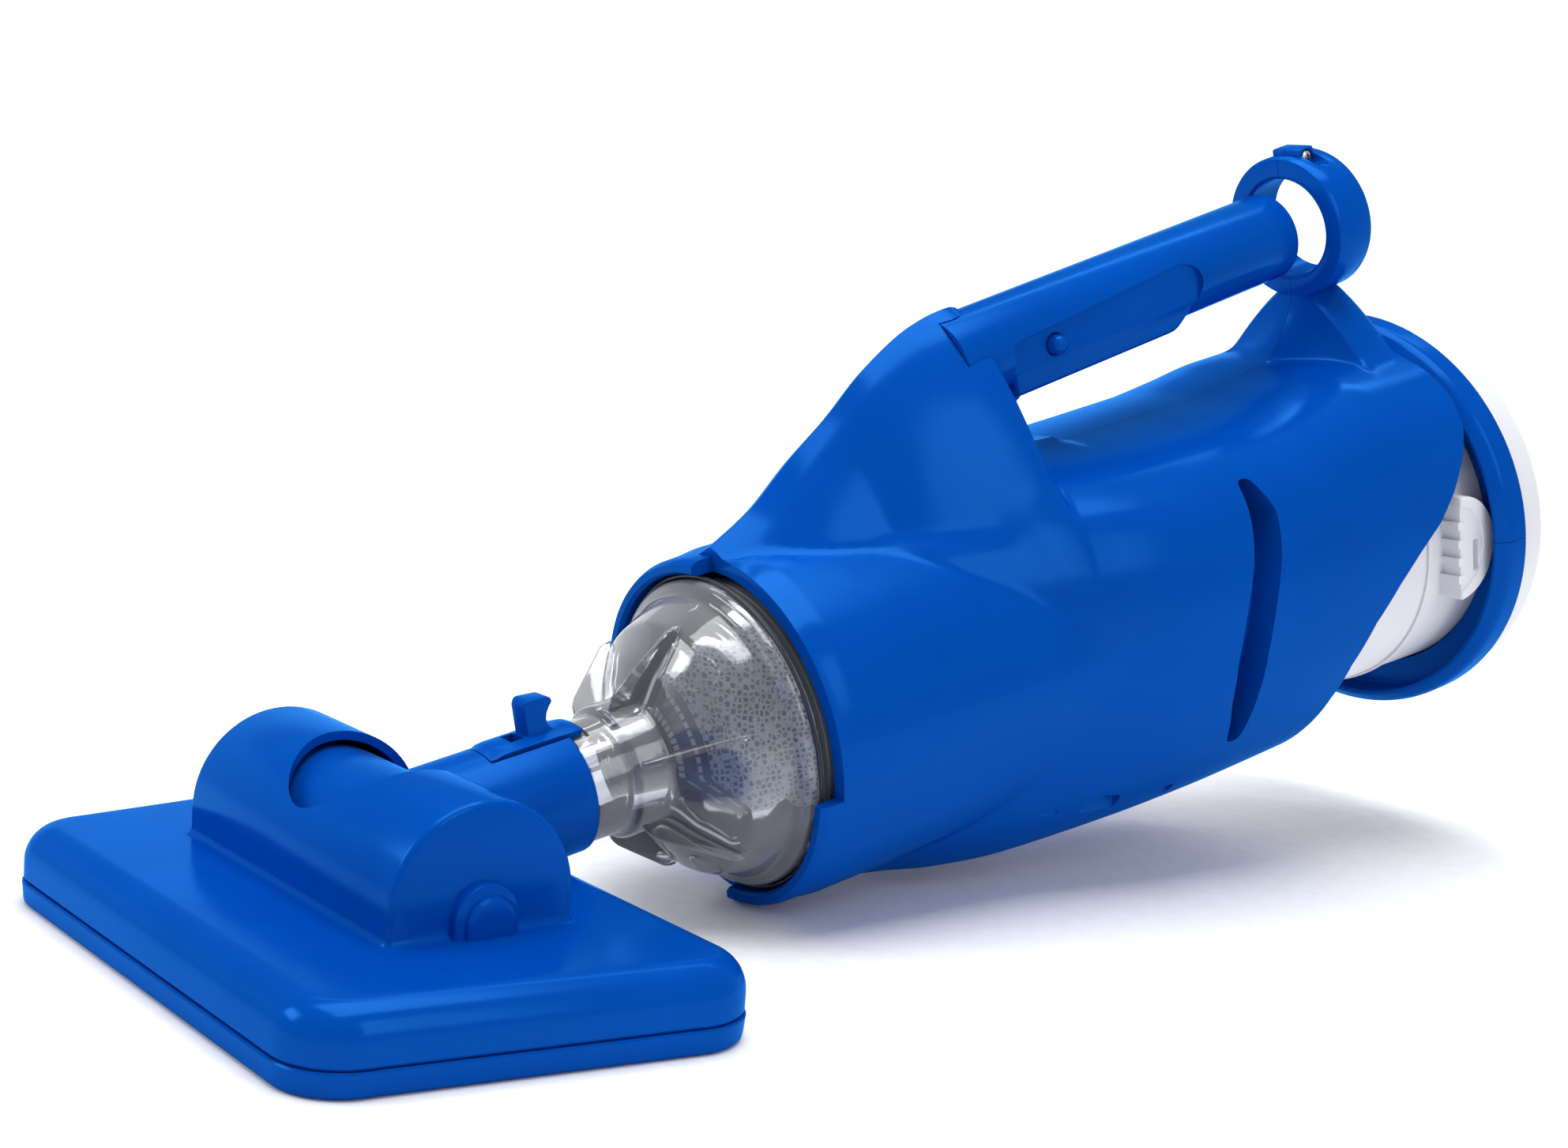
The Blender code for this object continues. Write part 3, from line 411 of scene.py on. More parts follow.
def moulded(name, colour, drifted, roughness, spread, grain, relief, ior=1.54, cast=None):
    """Moulded plastic: a faint drift of colour, handled patches in its gloss and the mould's fine skin.

    With a cast, its reflections take that colour.
    """
    mat, tree, place = new_material(name)
    tint = ramp(tree, noise(tree, place, 45.0, 3.0), [(0.3, colour), (0.7, drifted)])
    gloss = remap(tree, noise(tree, place, 14.0, 6.0), 0.3, 0.75, roughness - spread, roughness + spread)
    normal = bumps(tree, noise(tree, place, grain), relief)
    shader = add_node(tree, 'ShaderNodeBsdfPrincipled',
                      {"Base Color": tint, "Roughness": gloss, "Normal": normal}, IOR=ior)
    surface = shader.outputs["BSDF"]
    if cast:
        shader.inputs["Specular IOR Level"].default_value = 0.0
        shine = add_node(tree, 'ShaderNodeBsdfGlossy', {"Roughness": gloss, "Normal": normal},
                         Color=linear(cast))
        mirror = add_node(tree, 'ShaderNodeFresnel', {"Normal": normal}, IOR=ior)
        surface = mixed(tree, mirror.outputs["Fac"], surface, shine.outputs["BSDF"])
    return surfaced(mat, surface)


@once
def blue_abs():
    # Injection-moulded ABS from a polished tool: deep even blue, crisp soft-box reflections, faint waves.
    c = colours()
    return moulded("glossy_blue_moulded_abs", c.housing_blue, c.housing_blue_drift, 0.19, 0.035, 7.0,
                   0.012, cast=REFLECTED_BLUE)


@once
def neck_abs():
    # The same ABS from a duller tool, as on the neck and latch: the highlight spreads wider.
    c = colours()
    return moulded("satin_blue_moulded_abs", c.housing_blue, c.housing_blue_drift, 0.27, 0.05, 0.5, 0.004,
                   cast=REFLECTED_BLUE)


@once
def white_abs():
    # Spark-eroded tool: an even satin white with a very fine pebble that breaks up reflections.
    return moulded("satin_white_moulded_abs", colours().case_white, "#D5D7DE", 0.4, 0.06, 0.55, 0.02)


@once
def valve_plastic():
    # Unpigmented polypropylene looks milky white and waxy.
    return moulded("milky_moulded_polypropylene", "#D9DCE2", "#CDD1D8", 0.33, 0.05, 0.8, 0.01, 1.49)


@once
def grey_plastic():
    # Glass-filled nylon: flat grey with fibres that catch the light as a speckle.
    return moulded("grey_moulded_nylon", "#6C6F74", "#5E6166", 0.5, 0.1, 0.4, 0.03, 1.53)


@once
def black_rubber():
    # Compression-moulded nitrile rubber: near black, dull, slightly bloomed.
    return moulded("black_moulded_rubber", "#14161A", "#1E2126", 0.45, 0.1, 0.6, 0.02, 1.52)


@once
def cell_wrap():
    # Shrunk PVC sleeve: glossy, tight, a little wavy from the heat.
    return moulded("shrunk_pvc_sleeve", "#3E6C9A", "#38618C", 0.3, 0.06, 5.0, 0.05, 1.53)


@once
def clear_polycarbonate():
    # Moulded clear polycarbonate: see-through, with a milky haze that flow lines make uneven, and bright,
    # sharp reflections at its edges.
    mat, tree, place = new_material("clear_moulded_polycarbonate")
    flow = noise(tree, place, 9.0, 3.0)
    wave = bumps(tree, flow, 0.06)
    haze = remap(tree, flow, 0.3, 0.7, 0.07, 0.13)
    edge = add_node(tree, 'ShaderNodeLayerWeight', {"Normal": wave}, Blend=0.35)
    body = calc(tree, 'ADD', haze, edge.outputs["Facing"])
    body.node.use_clamp = True
    see = add_node(tree, 'ShaderNodeBsdfTransparent', Color=linear("#F3F5F8"))
    milk = add_node(tree, 'ShaderNodeBsdfPrincipled', {"Normal": wave}, Roughness=0.16, IOR=1.58)
    milk.inputs["Base Color"].default_value = linear("#E2E6EE")
    hazy = mixed(tree, calc(tree, 'MULTIPLY', body, 0.5), see.outputs["BSDF"], milk.outputs["BSDF"])
    shine = add_node(tree, 'ShaderNodeBsdfGlossy', {"Normal": wave}, Roughness=0.06)
    mirror = add_node(tree, 'ShaderNodeFresnel', {"Normal": wave}, IOR=1.58)
    return surfaced(mat, mixed(tree, mirror.outputs["Fac"], hazy, shine.outputs["BSDF"]))


KNIT_CELL = 1.5
RIB_PITCH = 0.5
STITCH_PITCH = 3.0
STITCH_GAP = 0.9
STITCH_ROWS = (-1.6, -4.0)
THREAD_HALF = 0.3


@once
def filter_cloth():
    # Hexagonal warp-knitted polyester bag with a black, plain-woven binding, sewn down with two rows of
    # white lockstitch. The map "seam" holds millimetres along and across the binding, with the bare mesh
    # above zero, and "knit" the flat cut in millimetres.
    mat, tree, _ = new_material("knitted_polyester_with_black_binding")
    knit, seam = (add_node(tree, 'ShaderNodeUVMap', uv_map=layer).outputs["UV"]
                  for layer in ("knit", "seam"))
    uneven = add_node(tree, 'ShaderNodeTexNoise', {"Vector": knit}, Scale=0.6, Detail=2.0)
    pull = add_node(tree, 'ShaderNodeMapRange', {"Vector": uneven.outputs["Color"]},
                    data_type='FLOAT_VECTOR')
    pull.inputs[9].default_value = (-0.35, -0.35, -0.35)
    pull.inputs[10].default_value = (0.35, 0.35, 0.35)
    pulled = add_node(tree, 'ShaderNodeVectorMath', {0: knit, 1: pull.outputs[1]}, operation='ADD')
    cells = add_node(tree, 'ShaderNodeTexVoronoi', {"Vector": pulled.outputs["Vector"]},
                     feature='DISTANCE_TO_EDGE', Scale=1 / KNIT_CELL, Randomness=0.55)
    yarn = remap(tree, cells.outputs["Distance"], 0.1, 0.26, 1.0, 0.0)
    mesh_tint = ramp(tree, yarn, [(0.0, "#454C5A"), (0.55, "#8F98A8"), (1.0, "#C3C9D4")])
    parts = add_node(tree, 'ShaderNodeSeparateXYZ', {"Vector": seam})
    along, across = parts.outputs["X"], parts.outputs["Y"]
    rib = calc(tree, 'SINE', calc(tree, 'MULTIPLY', across, TAU / RIB_PITCH))
    band_tint = ramp(tree, rib, [(0.0, "#0B0D12"), (1.0, "#20242D")])
    on_mesh = calc(tree, 'GREATER_THAN', across, 0.0)
    cloth = add_node(tree, 'ShaderNodeMixRGB', {"Fac": on_mesh, "Color1": band_tint, "Color2": mesh_tint})
    beat = calc(tree, 'PINGPONG', along, STITCH_PITCH / 2)
    dash = calc(tree, 'GREATER_THAN', beat, STITCH_GAP / 2)
    rows = [calc(tree, 'COMPARE', across, row, THREAD_HALF) for row in STITCH_ROWS]
    thread = calc(tree, 'MULTIPLY', calc(tree, 'MAXIMUM', *rows), dash)
    colour = add_node(tree, 'ShaderNodeMixRGB', {"Fac": thread, "Color1": cloth.outputs["Color"]})
    colour.inputs["Color2"].default_value = linear("#D8DAD9")
    relief = calc(tree, 'ADD', calc(tree, 'MULTIPLY', yarn, on_mesh), thread)
    shader = add_node(tree, 'ShaderNodeBsdfPrincipled',
                      {"Base Color": colour.outputs["Color"], "Normal": bumps(tree, relief, 0.35)},
                      Roughness=0.8)
    shader.inputs["Sheen Weight"].default_value = 0.3
    return surfaced(mat, shader.outputs["BSDF"])


def metal(name, colour, roughness, spread, grain):
    """Bare metal: one colour, with fine drawn or turned lines in its gloss."""
    mat, tree, place = new_material(name)
    stretch = add_node(tree, 'ShaderNodeMapping', {"Vector": place}, Scale=(1.0, 0.08, 1.0))
    lines = noise(tree, stretch.outputs["Vector"], grain, 4.0)
    gloss = remap(tree, lines, 0.3, 0.7, roughness - spread, roughness + spread)
    shader = add_node(tree, 'ShaderNodeBsdfPrincipled',
                      {"Roughness": gloss, "Normal": bumps(tree, lines, 0.01)}, Metallic=1.0)
    shader.inputs["Base Color"].default_value = linear(colour)
    return surfaced(mat, shader.outputs["BSDF"])


@once
def stainless_steel():
    # Cold-headed stainless steel: bright, with fine tool lines.
    return metal("cold_headed_stainless_steel", "#C2C5CA", 0.28, 0.07, 0.3)


@once
def motor_steel():
    # Deep-drawn, zinc-plated steel can: greyer, with soft vertical draw lines.
    return metal("drawn_zinc_plated_steel", "#A9ACB0", 0.36, 0.08, 0.8)


@once
def circuit_board():
    # Glass-epoxy board under green solder mask, with paler copper runs showing through.
    mat, tree, place = new_material("solder_masked_glass_epoxy")
    runs = add_node(tree, 'ShaderNodeTexBrick', {"Vector": place}, Scale=1 / (9.0 * MM),
                    Color1=linear("#14603A"), Color2=linear("#1B6E44"), Mortar=linear("#2E8A5A"))
    shader = add_node(tree, 'ShaderNodeBsdfPrincipled', {"Base Color": runs.outputs["Color"]},
                      Roughness=0.35, IOR=1.55)
    return surfaced(mat, shader.outputs["BSDF"])


@once
def nylon_bristle():
    # Bundled nylon filament, drawn as 0.4 mm strands: pale, slightly see-through ends.
    mat, tree, place = new_material("bundled_nylon_filament")
    strands = add_node(tree, 'ShaderNodeMapping', {"Vector": place}, Scale=(1.0, 1.0, 0.05))
    grain = noise(tree, strands.outputs["Vector"], 0.4)
    tint = ramp(tree, grain, [(0.35, "#8E9096"), (0.65, "#D9DADC")])
    shader = add_node(tree, 'ShaderNodeBsdfPrincipled',
                      {"Base Color": tint, "Normal": bumps(tree, grain, 0.1)}, Roughness=0.55)
    return surfaced(mat, shader.outputs["BSDF"])


@once
def pale_floor():
    # Matte painted board: pale, with a faint roller stipple.
    mat, tree, place = new_material("matte_painted_board")
    tint = ramp(tree, noise(tree, place, 6.0), [(0.3, "#EDEEF0"), (0.7, "#F2F3F5")])
    shader = add_node(tree, 'ShaderNodeBsdfPrincipled', {"Base Color": tint}, Roughness=0.85)
    return surfaced(mat, shader.outputs["BSDF"])


# ------------------------------------------------------------------------------ settings


class VacuumSizes(bpy.types.PropertyGroup):
    """Sizes that a user would change, in metres."""

    plate_round: bpy.props.FloatProperty(
        name="Plate round", description="How far the head plate's top edge is rounded in",
        default=9.1 * MM,
        min=2.0 * MM, max=12.0 * MM, unit='LENGTH')
    seam: bpy.props.FloatProperty(
        name="Seam", description="Gap between the two halves of the housing and grip", default=0.16 * MM,
        min=0.1 * MM, max=0.6 * MM, unit='LENGTH')
    rib_thickness: bpy.props.FloatProperty(
        name="Nose rib", description="Thickness of the thin ribs on the clear nose", default=1.4 * MM,
        min=0.8 * MM, max=2.0 * MM, unit='LENGTH')
    bag_folds: bpy.props.FloatProperty(
        name="Bag folds", description="Depth of the soft folds in the filter bag", default=0.5 * MM,
        min=0.0, max=1.0 * MM, unit='LENGTH')


class VacuumColours(bpy.types.PropertyGroup):
    """Colours that a user would change, as sRGB."""

    housing_blue: bpy.props.FloatVectorProperty(
        name="Housing blue", description="Main colour of the blue plastic", size=3, subtype='COLOR_GAMMA',
        min=0.0, max=1.0, default=from_hex("#0044A2"))
    housing_blue_drift: bpy.props.FloatVectorProperty(
        name="Housing blue drift", description="Colour that the blue plastic drifts to", size=3,
        subtype='COLOR_GAMMA', min=0.0, max=1.0, default=from_hex("#004098"))
    case_white: bpy.props.FloatVectorProperty(
        name="Case white", description="Colour of the motor case and end cap", size=3,
        subtype='COLOR_GAMMA',
        min=0.0, max=1.0, default=from_hex("#DDDEE3"))


def sizes():
    return bpy.context.scene.vacuum_sizes


def colours():
    return bpy.context.scene.vacuum_colours


# ------------------------------------------------------------------------------ vac head

HALF_WIDTH_MID = 94.8
HALF_DEPTH = 58.9
SIDE_TAPER = 0.142
PLATE_CORNER = 17.8
PLATE_SIDE = 11.5
PLATE_TOP = 21.0
BASE_TOP = 6.5
PIVOT_Y = 4.3
PIVOT_Z = 28.3
BARREL_R = 25.5
BARREL_HALF = 54.3
NOTCH_R = 22.0
TEE_R = 21.3
TEE_HALF = 51.4
LUG_Z = 25.3
HEAD_SCREWS = [(70.0, -44.0), (-70.0, -44.0), (80.0, 44.0), (-80.0, 44.0)]
WINDOW_MIDDLE = 40.0
WINDOW = (32.0, 17.0, 3.0)
BRUSH_Y = 41.0
BRUSH_HALF = 66.0


def plate_outline(inset, z, per_corner=12):
    """Rounded trapezoid, wider at the rear, moved in by inset."""
    ring = []
    radius = max(PLATE_CORNER - inset, 1.0)
    slant = math.hypot(1, SIDE_TAPER)
    for sx, sy, start in ((1, -1, -90), (1, 1, 0), (-1, 1, 90), (-1, -1, 180)):
        cy = sy * (HALF_DEPTH - inset - radius)
        cx = sx * (HALF_WIDTH_MID - inset * slant + SIDE_TAPER * cy - radius * slant)
        ring += [(cx + a, cy + b, z) for a, b in circle(radius, per_corner, start, 90)]
    return ring


def arch(radius, x, foot, middle=PIVOT_Z, y=PIVOT_Y, count=40):
    """Arch across y and z: a half circle on straight sides that stand on foot."""
    over = [(x, y + a, middle + b) for a, b in circle(radius, count, 0, 180)]
    return [(x, y + radius, foot)] + over + [(x, y - radius, foot)]


def rounded_plan(half_x, half_y, radius, z, y=PIVOT_Y):
    ring = []
    for sx, sy, start in ((1, -1, -90), (1, 1, 0), (-1, 1, 90), (-1, -1, 180)):
        cx, cy = sx * (half_x - radius), y + sy * (half_y - radius)
        ring += [(cx + a, cy + b, z) for a, b in circle(radius, 6, start, 90)]
    return ring


class VACUUM_OT_head_cover(bpy.types.Operator):
    """Blue cover of the vac head, with its barrel, slot and end lugs"""

    bl_idname = "vacuum.head_cover"
    bl_label = "Head cover"

    def execute(self, context):
        reach = sizes().plate_round / MM
        rings = [plate_outline(0.9, BASE_TOP + 0.3), plate_outline(0.4, BASE_TOP + 0.9),
                 plate_outline(0.4, PLATE_SIDE)]
        for i in range(1, 13):
            a = math.radians(7.5 * i)
            rings.append(plate_outline(0.4 + reach * (1 - math.cos(a)),
                                       PLATE_SIDE + (PLATE_TOP - PLATE_SIDE) * math.sin(a)))
        cover = stack("head_cover_shell", rings, WORLD)
        ends = [(BARREL_HALF - 1.6 + 1.6 * math.sin(math.radians(a)),
                 1.6 * (1 - math.cos(math.radians(a))))
                for a in (0, 30, 60, 90)]
        steps = [(-x, d) for x, d in reversed(ends)] + ends
        barrel = stack("barrel", [arch(BARREL_R - d, x, 15.0) for x, d in steps], WORLD)
        foot = stack("foot", [rounded_plan(BARREL_HALF + grow, BARREL_R + grow, 1.7 + grow, z)
                              for grow, z in ((1.6, 19.0), (1.6, 21.02), (0.8, 21.3), (0.25, 22.0),
                                              (-0.15, 23.2))],
                     WORLD)
        weld(cover, barrel, foot)
        for sx in (-1, 1):
            outer = [(40.0, 0.0), (55.9, 0.0), (56.3, 0.15), (56.5, 0.5)]
            weld(cover, stack("lug", [arch(8.8 - d, x * sx, 14.0, LUG_Z, PIVOT_Y, 24) for x, d in outer],
                              WORLD))
            dome = [(50.0, 0.0), (56.9, 0.0), (57.5, 0.3), (57.9, 1.0), (58.0, 1.8)]
            weld(cover, stack("dome",
                              [arch(6.7 - d, x * sx, 16.0, LUG_Z - 1.0, PIVOT_Y + 0.8, 24)
                               for x, d in dome],
                              WORLD))
        room = stack("room",
                     [plate_outline(2.8, 2.0), plate_outline(2.8, 12.5), plate_outline(7.0, 18.8)], WORLD)
        cut(room, rod("trough_wall", 0.0, 90.0, 21.25, 48))
        weld(room, stack("barrel_room", [arch(BARREL_R - 2.4, x, 2.5) for x in (-52.1, 52.1)], WORLD))
        cut(cover, room)
        front = [(a, PIVOT_Y + b) for a, b in circle(NOTCH_R, 33, 180, 180)]
        plan = [(-NOTCH_R, PIVOT_Y + 32.0)] + front + [(NOTCH_R, PIVOT_Y + 32.0)]
        cut(cover, stack("slot", [[(x, y, z) for x, y in plan] for z in (21.4, 62.0)], WORLD))
        cut(cover, rod("trough", 2.0, 90.0, 19.05, 64))
        for sx in (-1, 1):
            cut(cover, cross_rod("trunnion_hole", [(40.0 * sx, 5.35), (56.0 * sx, 5.35)], PIVOT_Y,
                                 PIVOT_Z, 32, WORLD))
        for x, y in HEAD_SCREWS:
            weld(cover, pillar("boss", x, y, [(BASE_TOP + GAP, 4.0), (19.6, 4.0)]))
            cut(cover, pillar("hole", x, y, [(0.0, 1.9), (17.0, 1.9)], 24))
        clean(cover)
        dress(cover, "head", blue_abs(), ["head_cover"])
        return {'FINISHED'}


class VACUUM_OT_head_base(bpy.types.Operator):
    """Sole plate of the vac head, with its suction windows, brush grooves and screws"""

    bl_idname = "vacuum.head_base"
    bl_label = "Head base"

    def execute(self, context):
        rings = [plate_outline(2.0, 0.0), plate_outline(1.1, 0.3), plate_outline(0.6, 0.9),
                 plate_outline(0.4, 1.8),
                 plate_outline(0.0, BASE_TOP - 0.5), plate_outline(0.4, BASE_TOP)]
        base = stack("head_base_plate", rings, WORLD)
        plan = rounded_plan(*WINDOW, 0.0, 0.0)
        for sx in (-1, 1):
            rings = [[(WINDOW_MIDDLE * sx + x + flare * math.copysign(1, x),
                       y + flare * math.copysign(1, y), z)
                      for x, y, _ in plan] for z, flare in ((-2.0, 1.6), (0.0, 1.6), (1.4, 0.0),
                                                            (9.0, 0.0))]
            cut(base, stack("window", rings, WORLD))
            cut(base, block("groove", (-BRUSH_HALF - GAP, sx * BRUSH_Y - 3.5, -2.0),
                            (BRUSH_HALF + GAP, sx * BRUSH_Y + 3.5, 4.6), WORLD))
        for x, y in HEAD_SCREWS:
            cut(base, pillar("screw_way", x, y,
                             [(-1.0, 4.2), (0.3, 3.9), (3.2, 3.9), (3.2, 1.9), (9.0, 1.9)]))
        soften(base, 0.25, 50.0, 2)
        dress(base, "head", blue_abs(), ["head_base"])
        screw = cross_head_screw("head_screw_a", 14.2, 3.2, 1.5)
        for i, (x, y) in enumerate(HEAD_SCREWS):
            place = Matrix.Translation((x * MM, y * MM, 15.0 * MM)) @ Matrix.Rotation(math.pi, 4, 'X')
            piece = copy_of(screw, f"head_screw_bright_{i + 1}", place)
            dress(piece, "head", stainless_steel(), [f"head_screw_{i + 1}"])
        bpy.data.objects.remove(screw, do_unlink=True)
        return {'FINISHED'}


def cross_head_screw(name, length, head_r, shank_r, head_h=1.8):
    """A screw along +Z from its tip at 0: threaded shank, domed head and a cross recess."""
    steps = [(0.0, shank_r * 0.35), (1.4, shank_r * 0.8)]
    pitch = 0.9
    for i in range(int((length - head_h - 2.4) / pitch)):
        z = 1.4 + i * pitch
        steps += [(z + 0.35, shank_r * 0.8), (z + 0.6, shank_r), (z + 0.75, shank_r)]
    dome = [(length - head_h, shank_r * 0.9), (length - head_h, head_r), (length - head_h * 0.55, head_r),
            (length - head_h * 0.25, head_r * 0.9), (length, head_r * 0.62)]
    screw = stack(name, [[(a, b, z) for a, b in circle(r, 20)] for z, r in steps + dome], WORLD)
    for wide, deep in ((head_r * 0.6, 0.42), (0.42, head_r * 0.6)):
        tip = [(-wide, -deep), (wide, -deep), (wide, deep), (-wide, deep)]
        rings = [[(x * k, y * k, z) for x, y in tip]
                 for z, k in ((length - 1.1, 0.7), (length + 0.6, 1.05))]
        cut(screw, stack("cross", rings, WORLD))
    return screw


class VACUUM_OT_brushes(bpy.types.Operator):
    """Two strips of bristle tufts let into the sole"""

    bl_idname = "vacuum.brushes"
    bl_label = "Brush strips"

    def execute(self, context):
        tuft = stack("tuft",
                     [[(a, b, z) for a, b in circle(r, 7)]
                      for z, r in ((0.45, 0.95), (1.2, 1.05), (3.4, 0.8))],
                     WORLD)
        for side, sy in (("front", -1), ("rear", 1)):
            bar = block("bar", (-BRUSH_HALF, sy * BRUSH_Y - 3.1, 2.6),
                        (BRUSH_HALF, sy * BRUSH_Y + 3.1, 4.2), WORLD)
            tufts = []
            for row in (-1.5, 1.5):
                for k in range(44):
                    x = -BRUSH_HALF + 1.6 + (2 * BRUSH_HALF - 3.2) * k / 43
                    place = Matrix.Translation((x * MM, (sy * BRUSH_Y + row) * MM, 0))
                    tufts.append(copy_of(tuft, "tuft_copy", place))
            strip = together(f"bristles_{side}", [bar] + tufts)
            dress(strip, "head", nylon_bristle(), [f"brush_strip_{side}"], 50.0)
        bpy.data.objects.remove(tuft, do_unlink=True)
        return {'FINISHED'}


# ------------------------------------------------------------------------------ neck and latch

NECK_R = 17.85
NECK_BORE = 15.8
NECK_END = 62.4
LATCH_ROOT = 38.0
LATCH_TIP = 67.4
LATCH_HALF = 6.6
FIN = [(51.8, 17.0), (51.7, 22.0), (51.6, 26.4), (52.2, 27.7), (53.2, 28.2), (59.0, 27.6), (60.2, 27.0),
       (60.5, 25.9), (59.4, 24.6), (58.5, 23.2), (58.1, 21.6), (58.4, 20.0), (59.4, 18.8), (61.5, 17.6)]


class VACUUM_OT_neck(bpy.types.Operator):
    """T-shaped neck that pivots in the head and takes the clear nose"""

    bl_idname = "vacuum.neck"
    bl_label = "Neck tube"

    def execute(self, context):
        half = [(TEE_HALF, TEE_R - 0.8), (TEE_HALF - 0.4, TEE_R - 0.2), (TEE_HALF - 1.0, TEE_R)]
        steps = [(-x, r) for x, r in half] + [(x, r) for x, r in reversed(half)]
        neck = cross_rod("neck_body", steps, PIVOT_Y, PIVOT_Z, 72, WORLD)
        tube = [(2.0, NECK_R), (NECK_END - 1.1, NECK_R), (NECK_END - 0.5, NECK_R - 0.15),
                (NECK_END, NECK_R - 0.7)]
        weld(neck, turned("tube", tube, 72))
        for sx in (-1, 1):
            weld(neck, cross_rod("trunnion", [(48.0 * sx, 5.0), (55.2 * sx, 5.0), (55.8 * sx, 4.4)],
                                 PIVOT_Y, PIVOT_Z,
                                 32, WORLD))
        cut(neck, cross_rod("tee_bore", [(2.4 - TEE_HALF, 18.9), (TEE_HALF - 2.4, 18.9)], PIVOT_Y,
                            PIVOT_Z, 64, WORLD))
        cut(neck, turned("bore",
                         [(0.0, NECK_BORE), (NECK_END - 0.8, NECK_BORE),
                          (NECK_END + 2.0, NECK_BORE + 2.0)],
                         64))
        cut(neck, block("mouth", (-44.0, PIVOT_Y - 12.0, 2.0), (44.0, PIVOT_Y + 12.0, PIVOT_Z - 8.0),
                        WORLD))
        reach = LATCH_HALF + 0.9
        corner = [(-reach, 90.0), (-reach, LATCH_ROOT + 0.2), (-LATCH_HALF - 0.4, LATCH_ROOT - 0.4),
                  (LATCH_HALF + 0.4, LATCH_ROOT - 0.4), (reach, LATCH_ROOT + 0.2), (reach, 90.0)]
        cut(neck, stack("latch_slot", [[(x, s, h) for x, s in corner] for h in (6.0, 32.0)]))
        clean(neck)
        dress(neck, "neck", neck_abs(), ["neck_tube"])
        return {'FINISHED'}


class VACUUM_OT_latch(bpy.types.Operator):
    """Springy latch tongue with its window and thumb fin"""

    bl_idname = "vacuum.latch"
    bl_label = "Latch tongue"

    def execute(self, context):
        def section(s, lift, half_width):
            half = math.degrees(math.asin(half_width / NECK_R))
            outer = circle(NECK_R + lift, 15, 90 - half, 2 * half)
            return [(a, s, b) for a, b in outer + circle(NECK_BORE + 0.2, 15, 90 + half, -2 * half)]

        table = [(LATCH_ROOT, 0.0), (40.0, 0.0), (41.2, 0.5), (43.5, 0.75), (58.0, 0.75), (63.5, 0.5),
                 (66.2, 0.2),
                 (LATCH_TIP - 0.4, -0.3), (LATCH_TIP, -0.9)]
        widths = Curve([(LATCH_ROOT, LATCH_HALF), (64.5, LATCH_HALF), (66.6, LATCH_HALF - 0.5),
                        (LATCH_TIP, 5.4)])
        tongue = stack("latch_spring_tongue", [section(s, lift, widths(s)) for s, lift in table])
        fin = side_plate("fin", FIN, -3.3, 3.3)
        soften(fin, 0.45, 30.0, 3)
        weld(tongue, fin)
        cut(tongue, block("window", (-3.0, 46.6, 10.0), (3.0, 50.6, 30.0)))
        clean(tongue)
        dress(tongue, "latch", neck_abs(), ["latch_tongue"])
        return {'FINISHED'}


# ------------------------------------------------------------------------------ clear nose and filter

NOSE_OUTER = [(42.0, 15.5), (63.0, 15.5), (63.0, 16.4), (75.0, 16.6), (75.6, 18.8), (86.4, 18.8),
              (88.0, 21.0),
              (92.0, 27.6), (99.0, 36.2), (106.5, 39.4), (111.0, 40.9), (112.0, 44.6), (116.8, 44.6)]
NOSE_INNER = [(116.8, 41.6), (110.5, 38.6), (105.6, 37.2), (98.0, 33.6), (91.4, 24.8), (88.2, 18.6),
              (86.6, 16.8),
              (74.0, 14.9), (42.0, 13.4)]
NOSE_RIB = [(77.0, 17.8), (77.4, 20.2), (78.2, 22.4), (80.0, 24.6), (85.0, 28.6), (96.0, 37.2),
            (98.4, 38.0),
            (100.4, 37.9), (98.4, 34.6), (91.4, 25.8), (87.6, 19.8), (86.0, 17.8)]
RIB_TURN = 12.0
OVAL_TURNS = (52.0, 172.0, 292.0)


class VACUUM_OT_nose(bpy.types.Operator):
    """Clear nose: tube, collar, ribbed flare and rim"""

    bl_idname = "vacuum.nose"
    bl_label = "Clear nose"

    def execute(self, context):
        outline = rounded(NOSE_OUTER, 1.6, 4) + rounded(NOSE_INNER, 1.6, 4)
        nose = ring_turned("clear_nose", outline, 96)
        key = block("key", (-LATCH_HALF - 0.7, NECK_END - 0.4, 10.0), (LATCH_HALF + 0.7, 68.2, 30.0))
        cut(key, rod("keep_wall", 50.0, 80.0, 15.6, 64))
        half = sizes().rib_thickness / MM / 2
        for i in range(6):
            turn = BODY @ Matrix.Rotation(math.radians(60.0 * i + RIB_TURN), 4, 'Y')
            rib = side_plate("rib", NOSE_RIB, -half, half, turn)
            soften(rib, 0.3, 30.0, 2)
            weld(nose, rib)
        cut(nose, key)
        clean(nose)
        # small oval ejector marks stand a hair proud of the flare
        skin = Curve([(s, r) for s, r in NOSE_OUTER if s > 86.0 and r < 44.0])
        ovals = []
        for turn in OVAL_TURNS:
            rings = []
            for a, b in circle(1.0, 36):
                s, lean = 97.0 + 3.4 * a, math.radians(turn) + 0.13 * b
                out = Vector((math.cos(lean), 0.0, math.sin(lean)))
                middle = out * (skin(s) + 0.05) + Vector((0.0, s, 0.0))
                rings.append([tuple(middle + out * 0.22 * p + Vector((0.0, 0.22 * q, 0.0)))
                              for p, q in circle(1.0, 6)])
            ovals.append(stack("oval", rings + [rings[0]], BODY, 'LOOP'))
        nose = together("clear_nose_cone", [nose] + ovals)
        dress(nose, "neck", clear_polycarbonate(), ["nose_cone"], 38.0)
        return {'FINISHED'}


